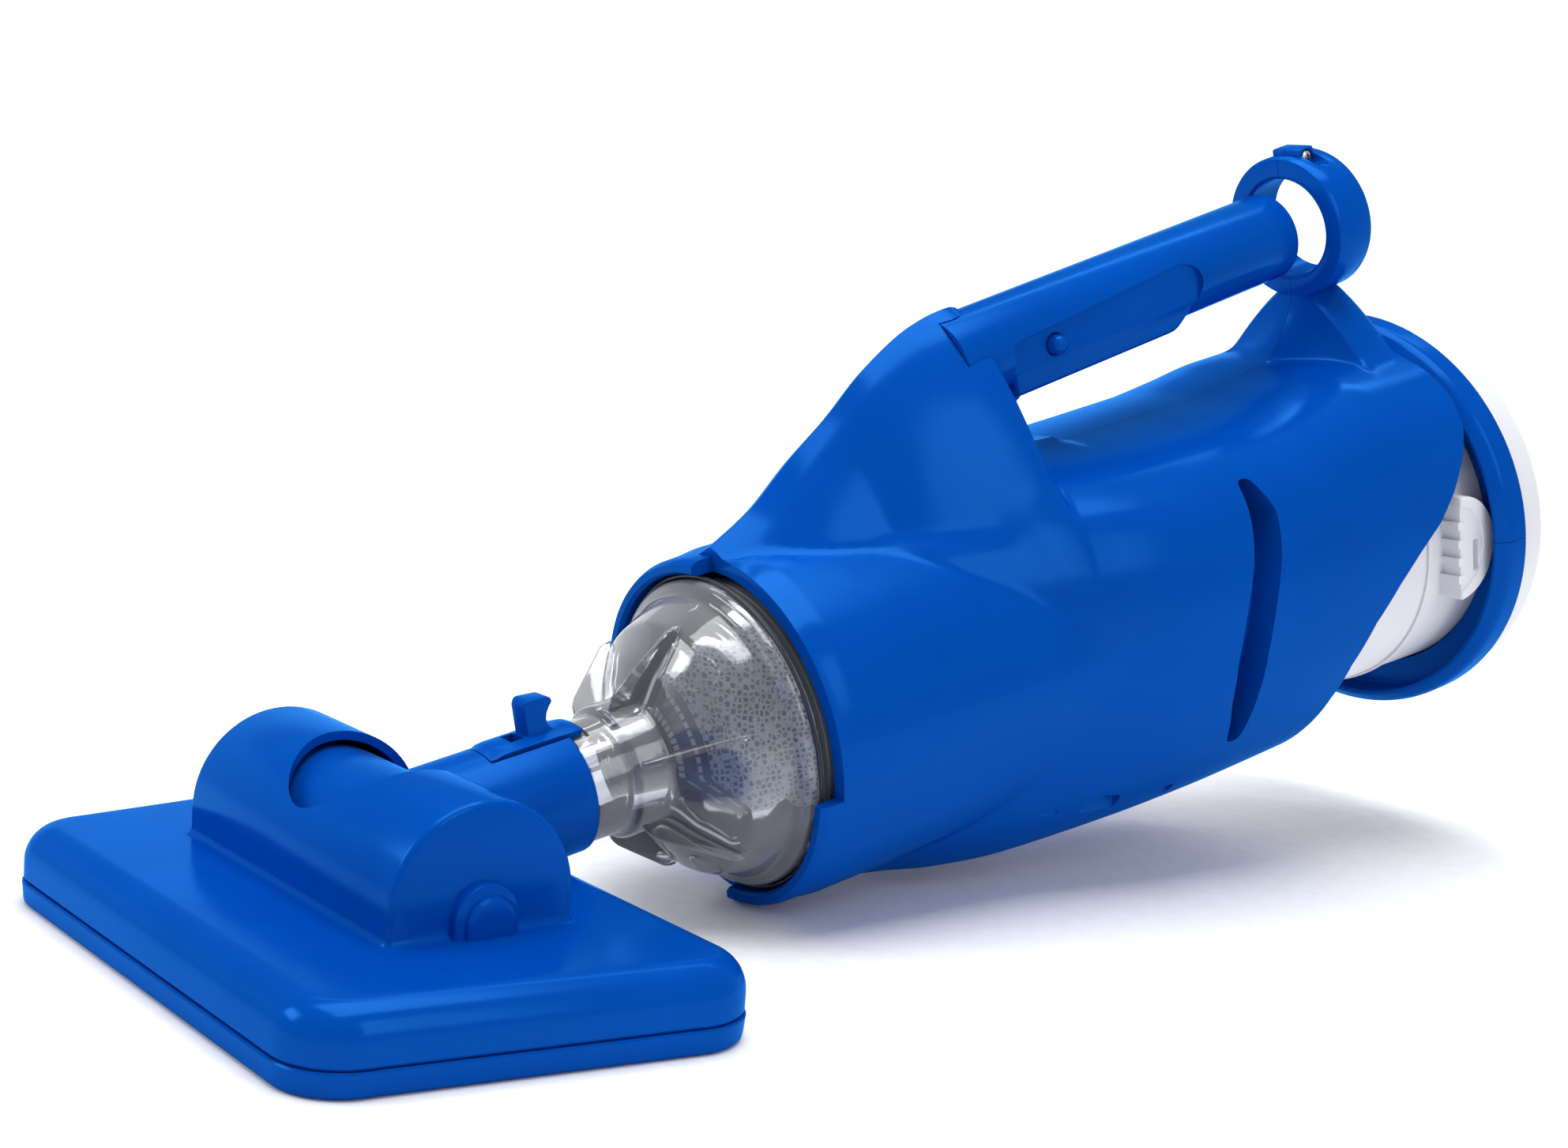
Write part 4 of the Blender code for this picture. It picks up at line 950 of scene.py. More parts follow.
class VACUUM_OT_valve(bpy.types.Operator):
    """Flap valve in the nose tube: seat with hinge cheeks, and a ribbed flap"""

    bl_idname = "vacuum.valve"
    bl_label = "Flap valve"

    def execute(self, context):
        seat = ring_turned("valve_seat_ring",
                           rounded([(59.4, 14.0), (61.0, 14.0), (61.0, 9.6), (59.4, 9.6)], 0.3, 2,
                                                      True), 64)
        for sx in (-1, 1):
            x0, x1 = sorted((5.4 * sx, 6.6 * sx))
            weld(seat, block("cheek", (x0, 60.2, 11.1), (x1, 62.9, 12.2)))
        dress(seat, "neck", valve_plastic(), ["valve_seat"])
        flap = turned("valve_flap", [(61.3, 11.2), (61.5, 11.4), (62.5, 11.4), (62.7, 11.2)], 64)
        weld(flap, cross_rod("hinge", [(-5.0, 0.7), (-4.8, 0.9), (4.8, 0.9), (5.0, 0.7)], 62.0, 11.6, 20))
        for x in (-2.6, 0.0, 2.6):
            weld(flap, block("rib", (x - 0.45, 62.0, -6.5), (x + 0.45, 64.2, 6.5)))
        weld(flap, block("bracket", (-3.6, 62.1, -1.0), (3.6, 65.4, 1.0)))
        clean(flap)
        dress(flap, "flap", valve_plastic(), ["flap_valve"])
        return {'FINISHED'}


BAG = [(89.5, 1.2), (89.5, 10.0), (90.2, 16.0), (93.5, 23.0), (99.0, 30.0), (105.0, 34.0), (111.0, 35.8),
       (119.0, 38.4)]
BAG_THICK = 0.9
BAG_COUNT = 144
CONE_SPREAD = 0.77      # how far one turn of the bag opens when its cone is laid flat
BINDING_R = 26.0


class VACUUM_OT_filter(bpy.types.Operator):
    """Filter bag stretched over its frame inside the nose, and the nose's seal"""

    bl_idname = "vacuum.filter"
    bl_label = "Filter"

    def execute(self, context):
        depth = sizes().bag_folds / MM
        profile = rounded(BAG, 2.5, 5)
        fine = []
        for (s0, r0), (s1, r1) in zip(profile, profile[1:]):
            count = max(1, int(math.hypot(s1 - s0, r1 - r0) / 1.2))
            fine += [(s0 + (s1 - s0) * k / count, r0 + (r1 - r0) * k / count) for k in range(count)]
        fine.append(profile[-1])
        rings, slants = [], [0.0]
        for last, here in zip(fine, fine[1:]):
            slants.append(slants[-1] + math.hypot(here[0] - last[0], here[1] - last[1]))
        for s, r in fine:
            slack = depth * min(1.0, max(0.0, (s - 91.0) / 6.0)) * min(1.0, max(0.0, (119.0 - s) / 6.0))
            ring = []
            for k in range(BAG_COUNT):
                a = TAU * k / BAG_COUNT
                sag = slack * (math.sin(5 * a + 0.09 * s) + 0.6 * math.sin(9 * a - 0.21 * s) - 1.2)
                ring.append(((r + sag) * math.cos(a), s, (r + sag) * math.sin(a)))
            rings.append(ring)
        # the start is a pinhole of the sewn tip, left open
        bag = stack("filter_bag_cloth", rings, BODY, 'LOOP')
        activate(bag)
        for layer in ("seam", "knit"):
            bag.data.uv_layers.new(name=layer)
        seam, knit = (bag.data.uv_layers[layer] for layer in ("seam", "knit"))
        to_body = BODY.inverted()
        for face in bag.data.polygons:
            angles = []
            for loop in face.loop_indices:
                x, s, h = to_body @ bag.data.vertices[bag.data.loops[loop].vertex_index].co / MM
                angles.append((math.atan2(h, x), x, s, h))
            wrap = max(a[0] for a in angles) - min(a[0] for a in angles) > math.pi
            for loop, (a, x, s, h) in zip(face.loop_indices, angles):
                a += TAU if wrap and a < 0 else 0.0
                nearest = min(range(len(fine)),
                              key=lambda k: abs(fine[k][0] - s) + abs(fine[k][1] - math.hypot(x, h)))
                slant = slants[nearest]
                across = min(s - 94.6, s + 0.8 * h - 93.3)
                seam.data[loop].uv = (BINDING_R * a, across)
                turn = CONE_SPREAD * a
                knit.data[loop].uv = (slant * math.cos(turn), slant * math.sin(turn))
        apply_modifier(bag, 'SOLIDIFY', thickness=BAG_THICK * MM, offset=-1.0, use_rim=True)
        dress(bag, "neck", filter_cloth(), ["filter_bag"], 60.0)
        ring = ring_turned("filter_frame_ring",
                           rounded([(119.5, 43.4), (123.4, 43.4), (123.4, 36.0), (119.5, 36.0)],
                                                        0.6, 3, True), 96)
        for angle, inset in ((45.0, 0.3), (135.0, 0.5)):
            turn = BODY @ Matrix.Rotation(math.radians(angle), 4, 'Y')
            spoke = block("spoke", (-1.5, 119.5 + inset, -38.0), (1.5, 123.4 - inset, 38.0), turn)
            weld(ring, spoke)
        dress(ring, "neck", grey_plastic(), ["filter_frame"])
        seal = ring_turned("nose_seal_ring", [(115.0 + a, 45.45 + b) for a, b in circle(0.55, 14)], 120)
        dress(seal, "neck", black_rubber(), ["nose_o_ring"])
        return {'FINISHED'}


# ------------------------------------------------------------------------------ housing

MOUTH_S = 118.6
LIP_S = 111.4
MOUTH_R = 46.5
SHELL_WALL = 2.4
LIP_OVERLAP = 9.5
SHELL_REAR = 380.6
CYL_R = 51.6
HALF_WIDTH = Curve([(118, 20.0), (131, 25.0), (160, 34.0), (175, 39.7), (193, 45.3), (206, 49.3),
                    (222, 53.2),
                    (248, 59.0), (275, 61.6), (310, 62.2), (345, 61.4), (385, 60.0)])
CROWN = Curve([(118, 50.0), (222, 54.8), (250, 54.4), (310, 55.4), (332, 57.6), (350, 60.0), (385, 61.0)])
BELLY = Curve([(118, 44.0), (136, 52.0), (160, 57.0), (180, 61.6), (200, 64.2), (228, 64.8), (262, 64.6),
               (385, 62.0)])
RIDGE = Curve([(118, 53.2), (133.5, 60.7), (149, 72.0), (164, 81.6), (180, 93.0), (196, 100.6),
               (206, 103.0),
               (212, 103.6), (214.6, 103.0), (216.4, 100.8), (217.5, 96.0), (218.3, 88.0), (219.6, 78.0),
               (222.2, 69.0), (226.5, 62.5), (233.0, 58.0), (246.0, 54.4), (385, 50.0)])
POST = Curve([(330, 50.0), (340, 53.6), (349, 60.0), (356, 68.0), (360.6, 76.0), (363.6, 85.0),
              (378.5, 85.0),
              (381, 80.0)])
REAR_CUT = [(SHELL_REAR, 84.0), (SHELL_REAR, 47.0), (379.0, 38.0), (374.0, 29.0), (367.2, 20.0),
            (359.3, 12.0),
            (348.6, 5.0), (337.6, -3.0), (326.0, -13.0), (317.0, -25.0), (312.6, -36.0), (310.0, -48.0),
            (306.0, -80.0), (420.0, -80.0), (420.0, 84.0)]
SLIT_LEFT = [(277.0, 43.0), (275.0, 33.0), (271.5, 20.0), (267.0, 6.0), (263.0, -8.0), (262.0, -22.0),
             (265.0, -37.0)]
SLIT_RIGHT = [(270.5, -37.0), (273.0, -22.0), (275.5, -8.0), (279.5, 6.0), (283.5, 20.0), (286.0, 33.0),
              (282.0, 43.0)]
DRAINS = [(195.0, 207.0), (216.0, 230.0), (238.0, 253.0)]
HOUSING_SCREWS = [(150.0, 57.0), (186.0, 82.0), (371.0, 70.0)]
COLLAR_MIDDLE = 368.0
COLLAR_HALF = 8.0
COLLAR_R = 23.5
COLLAR_HOLE = 16.4
GRIP_R = 14.0
RING_BOLT = GRIP @ Matrix.Translation((0, (COLLAR_MIDDLE - GRIP_S0) * MM, (COLLAR_R - 1.6) * MM))


def lobe(width, height, power, angle):
    c, s = abs(math.cos(angle)), abs(math.sin(angle))
    return ((c / width) ** power + (s / height) ** power) ** (-1.0 / power)


def blend(a, b, reach):
    """The larger of two radii, with the crease between them filled over reach."""
    near = max(reach - abs(a - b), 0.0) / reach
    return max(a, b) + near * near * reach * 0.25


def shell_radius(s, angle):
    """Outer radius of the housing at station s, angle from +x towards +h."""
    width = HALF_WIDTH(s)
    up = math.sin(angle) > 0
    lift = min(1.0, 1.4 * math.sin(angle))
    radius = lobe(width, CROWN(s), 3.0, angle) if up else lobe(width, BELLY(s), 2.15, angle)
    if up and s < 250.0:
        fill = lift * (2.0 + 6.0 * min(1.0, max(0.0, (s - 195.0) / 12.0)))
        radius = blend(radius, lobe(max(width, 36.0), RIDGE(s), 1.35, angle), fill)
    if up and s > 330.0:
        radius = blend(radius, lobe(width, POST(s), 1.3, angle), 3.0 * lift)
    if s < 226.0:
        radius = blend(radius, CYL_R - max(0.0, 126.0 - s) * 0.12, 0.5 + max(0.0, s - 190.0) * 0.05)
    return radius


def stations(start, end, step, spans=()):
    """Even stations, closer together inside the given (start, end, step) spans."""
    result = [start]
    while result[-1] < end - 0.01:
        pace = min([step] + [p for a, b, p in spans if a <= result[-1] < b])
        result.append(min(end, result[-1] + pace))
    return result


def shell_skin(name, wall, along, count):
    rings = []
    for s in along:
        near = [s] if wall == 0 else [s - wall, s, s + wall]
        ring = []
        for k in range(count):
            a = TAU * k / count
            r = min(shell_radius(q, a) for q in near) - wall
            ring.append((r * math.cos(a), s, r * math.sin(a)))
        rings.append(ring)
    skin = stack(name, rings)
    triangles(skin)
    return skin


class VACUUM_OT_housing(bpy.types.Operator):
    """Two blue housing halves: mouth, arch, flanks, post and pole collar"""

    bl_idname = "vacuum.housing"
    bl_label = "Housing halves"

    def execute(self, context):
        close = [(124.0, 230.0, 1.9), (210.0, 224.0, 0.8), (346.0, 368.0, 1.5)]
        outer = shell_skin("outer", 0.0, stations(MOUTH_S, SHELL_REAR + 3.0, 2.8, close), 144)
        lips = turned("lips", rounded([(LIP_S, 49.4), (LIP_S + 2.0, 50.6), (127.0, 51.25)], 1.5), 120)
        edge = [(-COLLAR_HALF, COLLAR_R - 1.4), (-COLLAR_HALF + 0.4, COLLAR_R - 0.5),
                (-COLLAR_HALF + 1.4, COLLAR_R)]
        profile = [(COLLAR_MIDDLE - GRIP_S0 + s, r) for s, r in edge]
        profile += [(COLLAR_MIDDLE - GRIP_S0 - s, r) for s, r in reversed(edge)]
        collar = turned("collar", profile, 96, (0.0, 0.0), GRIP)
        at = COLLAR_MIDDLE - GRIP_S0
        lug = block("lug", (-5.6, at - 3.9, COLLAR_R - 3.5), (5.6, at + 3.9, COLLAR_R + 1.7), GRIP)
        soften(lug, 0.9, 40.0, 3)
        weld(outer, lips, collar, lug)
        inner = shell_skin("inner", SHELL_WALL, stations(126.6, SHELL_REAR + 8.0, 9.0), 48)
        for s, h in HOUSING_SCREWS:
            cut(inner, cross_rod("boss", [(-90.0, 4.2), (90.0, 4.2)], s, h, 20))
        # the outlet slits run in ducts whose walls and floor belong to the halves
        duct = [(p - 2.4, q) for p, q in SLIT_LEFT] + [(p + 2.4, q) for p, q in SLIT_RIGHT]
        for sx in (-1, 1):
            cut(inner, side_plate("duct", duct, 20.0 * sx, 80.0 * sx))
        cut(outer, inner)
        cut(outer, turned("mouth_bore",
                          [(90.0, MOUTH_R + 1.0), (LIP_S + 0.2, MOUTH_R + 0.8), (LIP_S + 1.2, MOUTH_R),
                                         (MOUTH_S + 12.0, MOUTH_R)], 120))
        cut(outer, turned("case_room", [(261.0, 49.8), (399.0, 54.9)], 96))
        rear = side_plate("rear_cut", REAR_CUT, -90.0, 90.0)
        ways = [turned("socket", [(-52.5, 14.3), (93.5, 14.3)], 64, (0.0, 0.0), GRIP),
                turned("pole_way", [(95.0, COLLAR_HOLE + 1.0), (at - COLLAR_HALF, COLLAR_HOLE + 1.0),
                                    (at - COLLAR_HALF + 1.0, COLLAR_HOLE),
                                    (at + COLLAR_HALF - 1.0, COLLAR_HOLE),
                                    (at + COLLAR_HALF, COLLAR_HOLE + 1.0),
                                    (130.0, COLLAR_HOLE + 1.0)], 72,
                       (0.0, 0.0), GRIP),
                cross_rod("bolt_way", [(-20.0, 1.8), (4.0, 1.8), (4.0, 2.9), (20.0, 2.9)], 0.0, 0.0, 24,
                          RING_BOLT)]
        outline = rounded(SLIT_LEFT + SLIT_RIGHT, 2.6, 3, True)
        for sx in (-1, 1):
            slit = side_plate("slit", outline, 30.0 * sx, 80.0 * sx)
            cut(slit, rod("duct_floor", 250.0, 300.0, 52.2, 96))
            ways.append(slit)
        for s0, s1 in DRAINS:
            plan = rounded([(36.5, s0), (41.5, s0), (41.5, s1), (36.5, s1)], 1.5, 3, True)
            ways += [stack("drain", [[(x * sx, s, h) for x, s in plan] for h in (-62.5, -43.5)])
                     for sx in (-1, 1)]
        for s, h in HOUSING_SCREWS:
            ways.append(cross_rod("screw_way", [(9.0, 1.8), (-5.9, 1.8), (-5.9, 3.6), (-60.0, 3.6)], s, h,
                                  24))
        pole_way, socket = ways.pop(1), ways.pop(0)
        cut(outer, rear, pole_way, socket, together("ways", ways))
        seam = sizes().seam / MM / 2
        left = copy_of(outer, "housing_half_left", WORLD)
        cut(outer, block("far_half", (-120, 60, -120), (seam, 460, 180)))
        cut(left, block("near_half", (-seam, 60, -120), (120, 460, 180)))
        # each half keeps the lip of its own quarter and is cut back over the other
        cut(outer, block("cut_back", (0, 60, -LIP_OVERLAP), (120, MOUTH_S, 120)))
        cut(left, block("cut_back", (-120, 60, -120), (0, MOUTH_S, LIP_OVERLAP)))
        outer.name = "housing_half_right"
        for half, node in ((outer, "housing_right"), (left, "housing_left")):
            clean(half)
            dress(half, "housing", blue_abs(), [node], 28.0)
        return {'FINISHED'}


class VACUUM_OT_fasteners(bpy.types.Operator):
    """Screws of the housing and the pole collar"""

    bl_idname = "vacuum.fasteners"
    bl_label = "Housing screws"

    def execute(self, context):
        screw = cross_head_screw("housing_screw_a", 16.0, 3.2, 1.5)
        to_left = Matrix.Rotation(math.radians(-90), 4, 'Y')
        for i, (s, h) in enumerate(HOUSING_SCREWS):
            place = BODY @ Matrix.Translation((8.0 * MM, s * MM, h * MM)) @ to_left
            piece = copy_of(screw, f"housing_screw_bright_{i + 1}", place)
            dress(piece, "housing", stainless_steel(), [f"housing_screw_{i + 1}"])
        bpy.data.objects.remove(screw, do_unlink=True)
        bolt = cross_head_screw("collar_screw_bright", 12.1, 2.4, 1.5)
        settle(bolt, RING_BOLT @ Matrix.Translation((-6.0 * MM, 0,
                                                     0)) @ Matrix.Rotation(math.radians(90), 4, 'Y'))
        dress(bolt, "housing", stainless_steel(), ["collar_screw"])
        return {'FINISHED'}


# ------------------------------------------------------------------------------ grip

GRIP_A = 206.0 - GRIP_S0
GRIP_B = 351.5 - GRIP_S0
BUTTON_AT_S = 241.7 - GRIP_S0
BUTTON_AT_H = -2.5
BUTTON_R = 3.0
FLAT_X = 12.2
SKIRT = [(-34.0, 3.0), (-34.0, -14.3), (36.0, -14.3), (44.0, -9.0), (48.0, -2.0), (46.0, 4.0),
         (40.0, 6.6)]


class VACUUM_OT_grip(bpy.types.Operator):
    """Two halves of the grip tube with flat sides, and the snap buttons in it"""

    bl_idname = "vacuum.grip"
    bl_label = "Grip"

    def execute(self, context):
        half = sizes().seam / MM / 2
        end = [(GRIP_B - 1.6, GRIP_R), (GRIP_B - 0.8, GRIP_R - 0.25), (GRIP_B - 0.2, GRIP_R - 0.9),
               (GRIP_B, GRIP_R - 1.8)]
        whole = turned("grip_tube", [(GRIP_A, GRIP_R)] + end, 96, (0.0, 0.0), GRIP)
        web = [(-38.0, -9.0), (-38.0, -18.6), (-34.0, -18.4), (-30.0, -17.4), (-26.0, -15.4),
               (-22.0, -13.9),
               (-16.0, -12.6), (-16.0, -9.0)]
        brace = side_plate("web", web, -6.5, 6.5, GRIP)
        soften(brace, 0.8, 40.0, 3)
        weld(whole, brace)
        skirt = side_plate("skirt", rounded(SKIRT, 3.0, 3, True), -FLAT_X, FLAT_X, GRIP)
        soften(skirt, 2.4, 60.0, 3)
        for sx in (-1, 1):
            cut(whole, side_plate("flat", rounded(SKIRT, 3.0, 3, True), (FLAT_X + 0.05) * sx, 20.0 * sx,
                                  GRIP))
        weld(whole, skirt)
        for sx in (-1, 1):
            cut(whole, cross_rod("button_way", [(4.0 * sx, BUTTON_R + 0.35), (11.9 * sx, BUTTON_R + 0.35),
                                                (12.7 * sx, BUTTON_R + 1.2), (20.0 * sx, BUTTON_R + 1.2)],
                                 BUTTON_AT_S, BUTTON_AT_H, 40, GRIP))
        cut(whole, turned("hollow", [(GRIP_A - 5.0, 11.4), (GRIP_B - 2.6, 11.4)], 48, (0.0, 0.0), GRIP))
        for name, sx in (("right", 1), ("left", -1)):
            piece = copy_of(whole, f"grip_half_{name}", WORLD)
            x0, x1 = sorted((-40.0 * sx, half * sx))
            cut(piece, block("other_half", (x0, GRIP_A - 20.0, -40.0), (x1, GRIP_B + 20.0, 40.0), GRIP))
            clean(piece)
            dress(piece, "housing", blue_abs(), [f"grip_{name}"], 28.0)
            steps = [(7.4, 4.0), (8.8, 4.0), (8.8, 3.0), (13.8, 3.0), (14.8, 2.75), (15.6, 2.2),
                     (16.1, 1.4), (16.3, 0.5)]
            button = cross_rod(f"snap_button_dome_{name}", [(x * sx, r) for x, r in steps], BUTTON_AT_S,
                               BUTTON_AT_H, 40,
                               GRIP)
            dress(button, f"snap_{name}", blue_abs(), [f"snap_button_{name}"])
        bpy.data.objects.remove(whole, do_unlink=True)
        return {'FINISHED'}


# ------------------------------------------------------------------------------ motor unit

CASE_FRONT = 264.0
CASE_REAR = 393.2
CASE_R0 = 49.4
CASE_R1 = 54.3
LUG_S = 370.0
LUG_R = 17.3
RING_FRONT = 381.6
RING_REAR = 393.0
RING_R = 68.2
CAP_R = 66.0
CAP_REAR = 410.4
BUTTON_AT = (0.0, 24.0)
PORT_AT = (0.0, -24.0)
CAP_SCREWS = [(46.0 * math.sin(math.radians(a)), 46.0 * math.cos(math.radians(a)))
              for a in (60.0, 180.0, 300.0)]


def case_radius(s):
    return CASE_R0 + (CASE_R1 - CASE_R0) * (s - CASE_FRONT) / (CASE_REAR - CASE_FRONT)


class VACUUM_OT_motor_case(bpy.types.Operator):
    """White motor case with its two side lugs"""

    bl_idname = "vacuum.motor_case"
    bl_label = "Motor case"

    def execute(self, context):
        profile = rounded([(CASE_FRONT, CASE_R0 - 3.0), (CASE_FRONT + 3.0, case_radius(CASE_FRONT + 3.0)),
                           (CASE_REAR, CASE_R1)], 3.0, 5)
        profile += [(CASE_REAR, 51.7), (270.0, 46.8), (267.4, 43.4), (267.4, 6.4), (CASE_FRONT, 6.4)]
        case = ring_turned("motor_case_body", profile, 120)
        for sx in (-1, 1):
            face = [(LUG_S + a, b) for a, b in circle(LUG_R, 33, -90, 180)]
            lug = side_plate("lug", face, 48.0 * sx, 60.3 * sx)
            soften(lug, 0.8, 60.0, 3)
            # a shallow step round the lug's face and a slot for the ring's hook
            cut(lug, rod("keep_bore", 350.0, 400.0, 51.2, 72))
            inner = [(LUG_S - 1.0 + a, b) for a, b in circle(LUG_R - 2.6, 29, -90, 180)]
            cut(lug, side_plate("step", [(p - 2.0, q) for p, q in inner], 59.7 * sx, 70.0 * sx))
            slot = rounded([(376.6, -9.0), (379.2, -9.0), (379.2, 1.6), (376.6, 1.6)], 0.8, 3, True)
            cut(lug, side_plate("slot", slot, 57.4 * sx, 70.0 * sx))
            for h in (-11.5, -5.5, 0.5, 6.5):
                x0, x1 = sorted((50.0 * sx, 60.2 * sx))
                weld(lug, block("tooth", (x0, 368.5, h), (x1, 371.4, h + 2.6)))
            weld(case, lug)
        band = ring_turned("band",
                           rounded([(361.6, 53.0), (361.6, 53.95), (363.4, 54.0), (363.4, 53.0)], 0.2, 2,
                                   True),
                           120)
        weld(case, band)
        clean(case)
        dress(case, "housing", white_abs(), ["motor_case"])
        return {'FINISHED'}


class VACUUM_OT_rear_ring(bpy.types.Operator):
    """Two halves of the blue ring that holds the end cap"""

    bl_idname = "vacuum.rear_ring"
    bl_label = "Rear ring"

    def execute(self, context):
        profile = rounded([(RING_FRONT, RING_R - 3.4), (RING_FRONT + 3.4, RING_R), (RING_REAR, RING_R)],
                          2.2, 5)
        profile += [(RING_REAR, CASE_R1 + 0.5), (RING_REAR - 3.0, CASE_R1 + 0.5), (RING_REAR - 3.0, 63.4)]
        profile += [(RING_FRONT + 0.6, 63.4), (RING_FRONT, 64.0)]
        ring = ring_turned("ring", profile, 144)
        gap = sizes().seam / MM / 2
        for name, sign in (("top", 1), ("bottom", -1)):
            half = copy_of(ring, f"rear_ring_half_{name}", WORLD)
            low, high = sorted((-90.0 * sign, gap * sign))
            cut(half, block("other_half", (-90, 370, low), (90, 400, high)))
            clean(half)
            dress(half, "housing", blue_abs(), [f"rear_ring_{name}"])
        bpy.data.objects.remove(ring, do_unlink=True)
        return {'FINISHED'}


class VACUUM_OT_end_cap(bpy.types.Operator):
    """White end cap with its button, port, plug, gasket and screws"""

    bl_idname = "vacuum.end_cap"
    bl_label = "End cap"

    def execute(self, context):
        cap = turned("end_cap_cover", rounded([(393.6, CAP_R - 0.6), (394.2, CAP_R), (405.5, CAP_R - 0.6),
                                               (409.0, CAP_R - 3.6), (CAP_REAR, CAP_R - 9.0),
                                               (CAP_REAR, CAP_R - 14.0)],
                                              3.0, 5), 144)
        cut(cap, turned("inside", [(389.0, CAP_R - 4.0), (402.0, CAP_R - 4.0), (407.6, CAP_R - 10.0)],
                        96))
        for (x, h), r in ((BUTTON_AT, 9.4), (PORT_AT, 7.4)):
            cut(cap, turned("way", [(400.0, r), (CAP_REAR - 0.5, r), (CAP_REAR + 2.0, r + 2.0)], 64,
                            (x, h)))
        for x, h in CAP_SCREWS:
            weld(cap, rod("boss", 396.0, 408.0, 3.6, 24, (x, h)))
            cut(cap, turned("screw_way", [(399.0, 1.8), (408.6, 1.8), (408.6, 3.6), (420.0, 3.6)], 24,
                            (x, h)))
        clean(cap)
        dress(cap, "housing", white_abs(), ["end_cap"])
        gasket = ring_turned("cap_gasket_ring",
                             rounded([(393.9, 58.6), (396.4, 58.6), (396.4, 54.9), (393.9, 54.9)], 0.5,
                                                        3, True), 96)
        dress(gasket, "housing", black_rubber(), ["cap_gasket"])
        screw = cross_head_screw("cap_screw_a", 10.5, 3.2, 1.45)
        for i, (x, h) in enumerate(CAP_SCREWS):
            place = BODY @ Matrix.Translation((x * MM, 400.0 * MM,
                                               h * MM)) @ Matrix.Rotation(math.radians(-90), 4, 'X')
            piece = copy_of(screw, f"cap_screw_bright_{i + 1}", place)
            dress(piece, "housing", stainless_steel(), [f"cap_screw_{i + 1}"])
        bpy.data.objects.remove(screw, do_unlink=True)
        button = turned("power_button_cap",
                        rounded([(404.0, 10.6), (407.2, 10.6), (407.2, 8.9), (411.4, 8.9),
                                                     (412.4, 7.6), (412.0, 3.0)], 0.5, 3), 64, BUTTON_AT)
        dress(button, "power", grey_plastic(), ["power_button"])
        port = ring_turned("charge_port_socket",
                           rounded([(402.2, 7.0), (405.6, 7.0), (405.6, 3.4), (402.2, 3.4)], 0.4,
                                                         2, True), 48, PORT_AT)
        dress(port, "housing", grey_plastic(), ["charge_port"])
        plug = turned("charge_plug_cap",
                      rounded([(403.2, 2.6), (403.6, 3.0), (406.0, 3.0), (406.0, 7.0), (411.2, 7.0),
                                                  (412.0, 6.2), (411.6, 4.0)], 0.3, 3), 48, PORT_AT)
        pull = block("pull", (-3.4, 410.8, PORT_AT[1] - 0.8), (3.4, 412.3, PORT_AT[1] + 0.8))
        weld(plug, pull)
        dress(plug, "plug", black_rubber(), ["charge_plug"])
        return {'FINISHED'}


class VACUUM_OT_inner_parts(bpy.types.Operator):
    """Finishes of the pump, motor and battery parts kept from the CAD model"""

    bl_idname = "vacuum.inner_parts"
    bl_label = "Inner parts"

    def execute(self, context):
        finishes = {
            "intake_guard": white_abs, "impeller": grey_plastic, "motor_shaft": stainless_steel,
            "shaft_seal": black_rubber, "motor": motor_steel, "battery_cell_1": cell_wrap,
            "battery_cell_2": cell_wrap, "battery_cell_3": cell_wrap, "battery_holder": black_rubber,
            "circuit_board": circuit_board, "snap_spring": stainless_steel,
        }
        for node, finish in finishes.items():
            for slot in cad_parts[node].material_slots:
                slot.material = finish()
        return {'FINISHED'}


# ------------------------------------------------------------------------------ stage

CAMERA_AT = (0.52631, -0.28839, 0.19885)
CAMERA_AZIMUTH = 51.43
CAMERA_ELEVATION = 8.83
CAMERA_ROLL = 4.27
LENS = 55.11


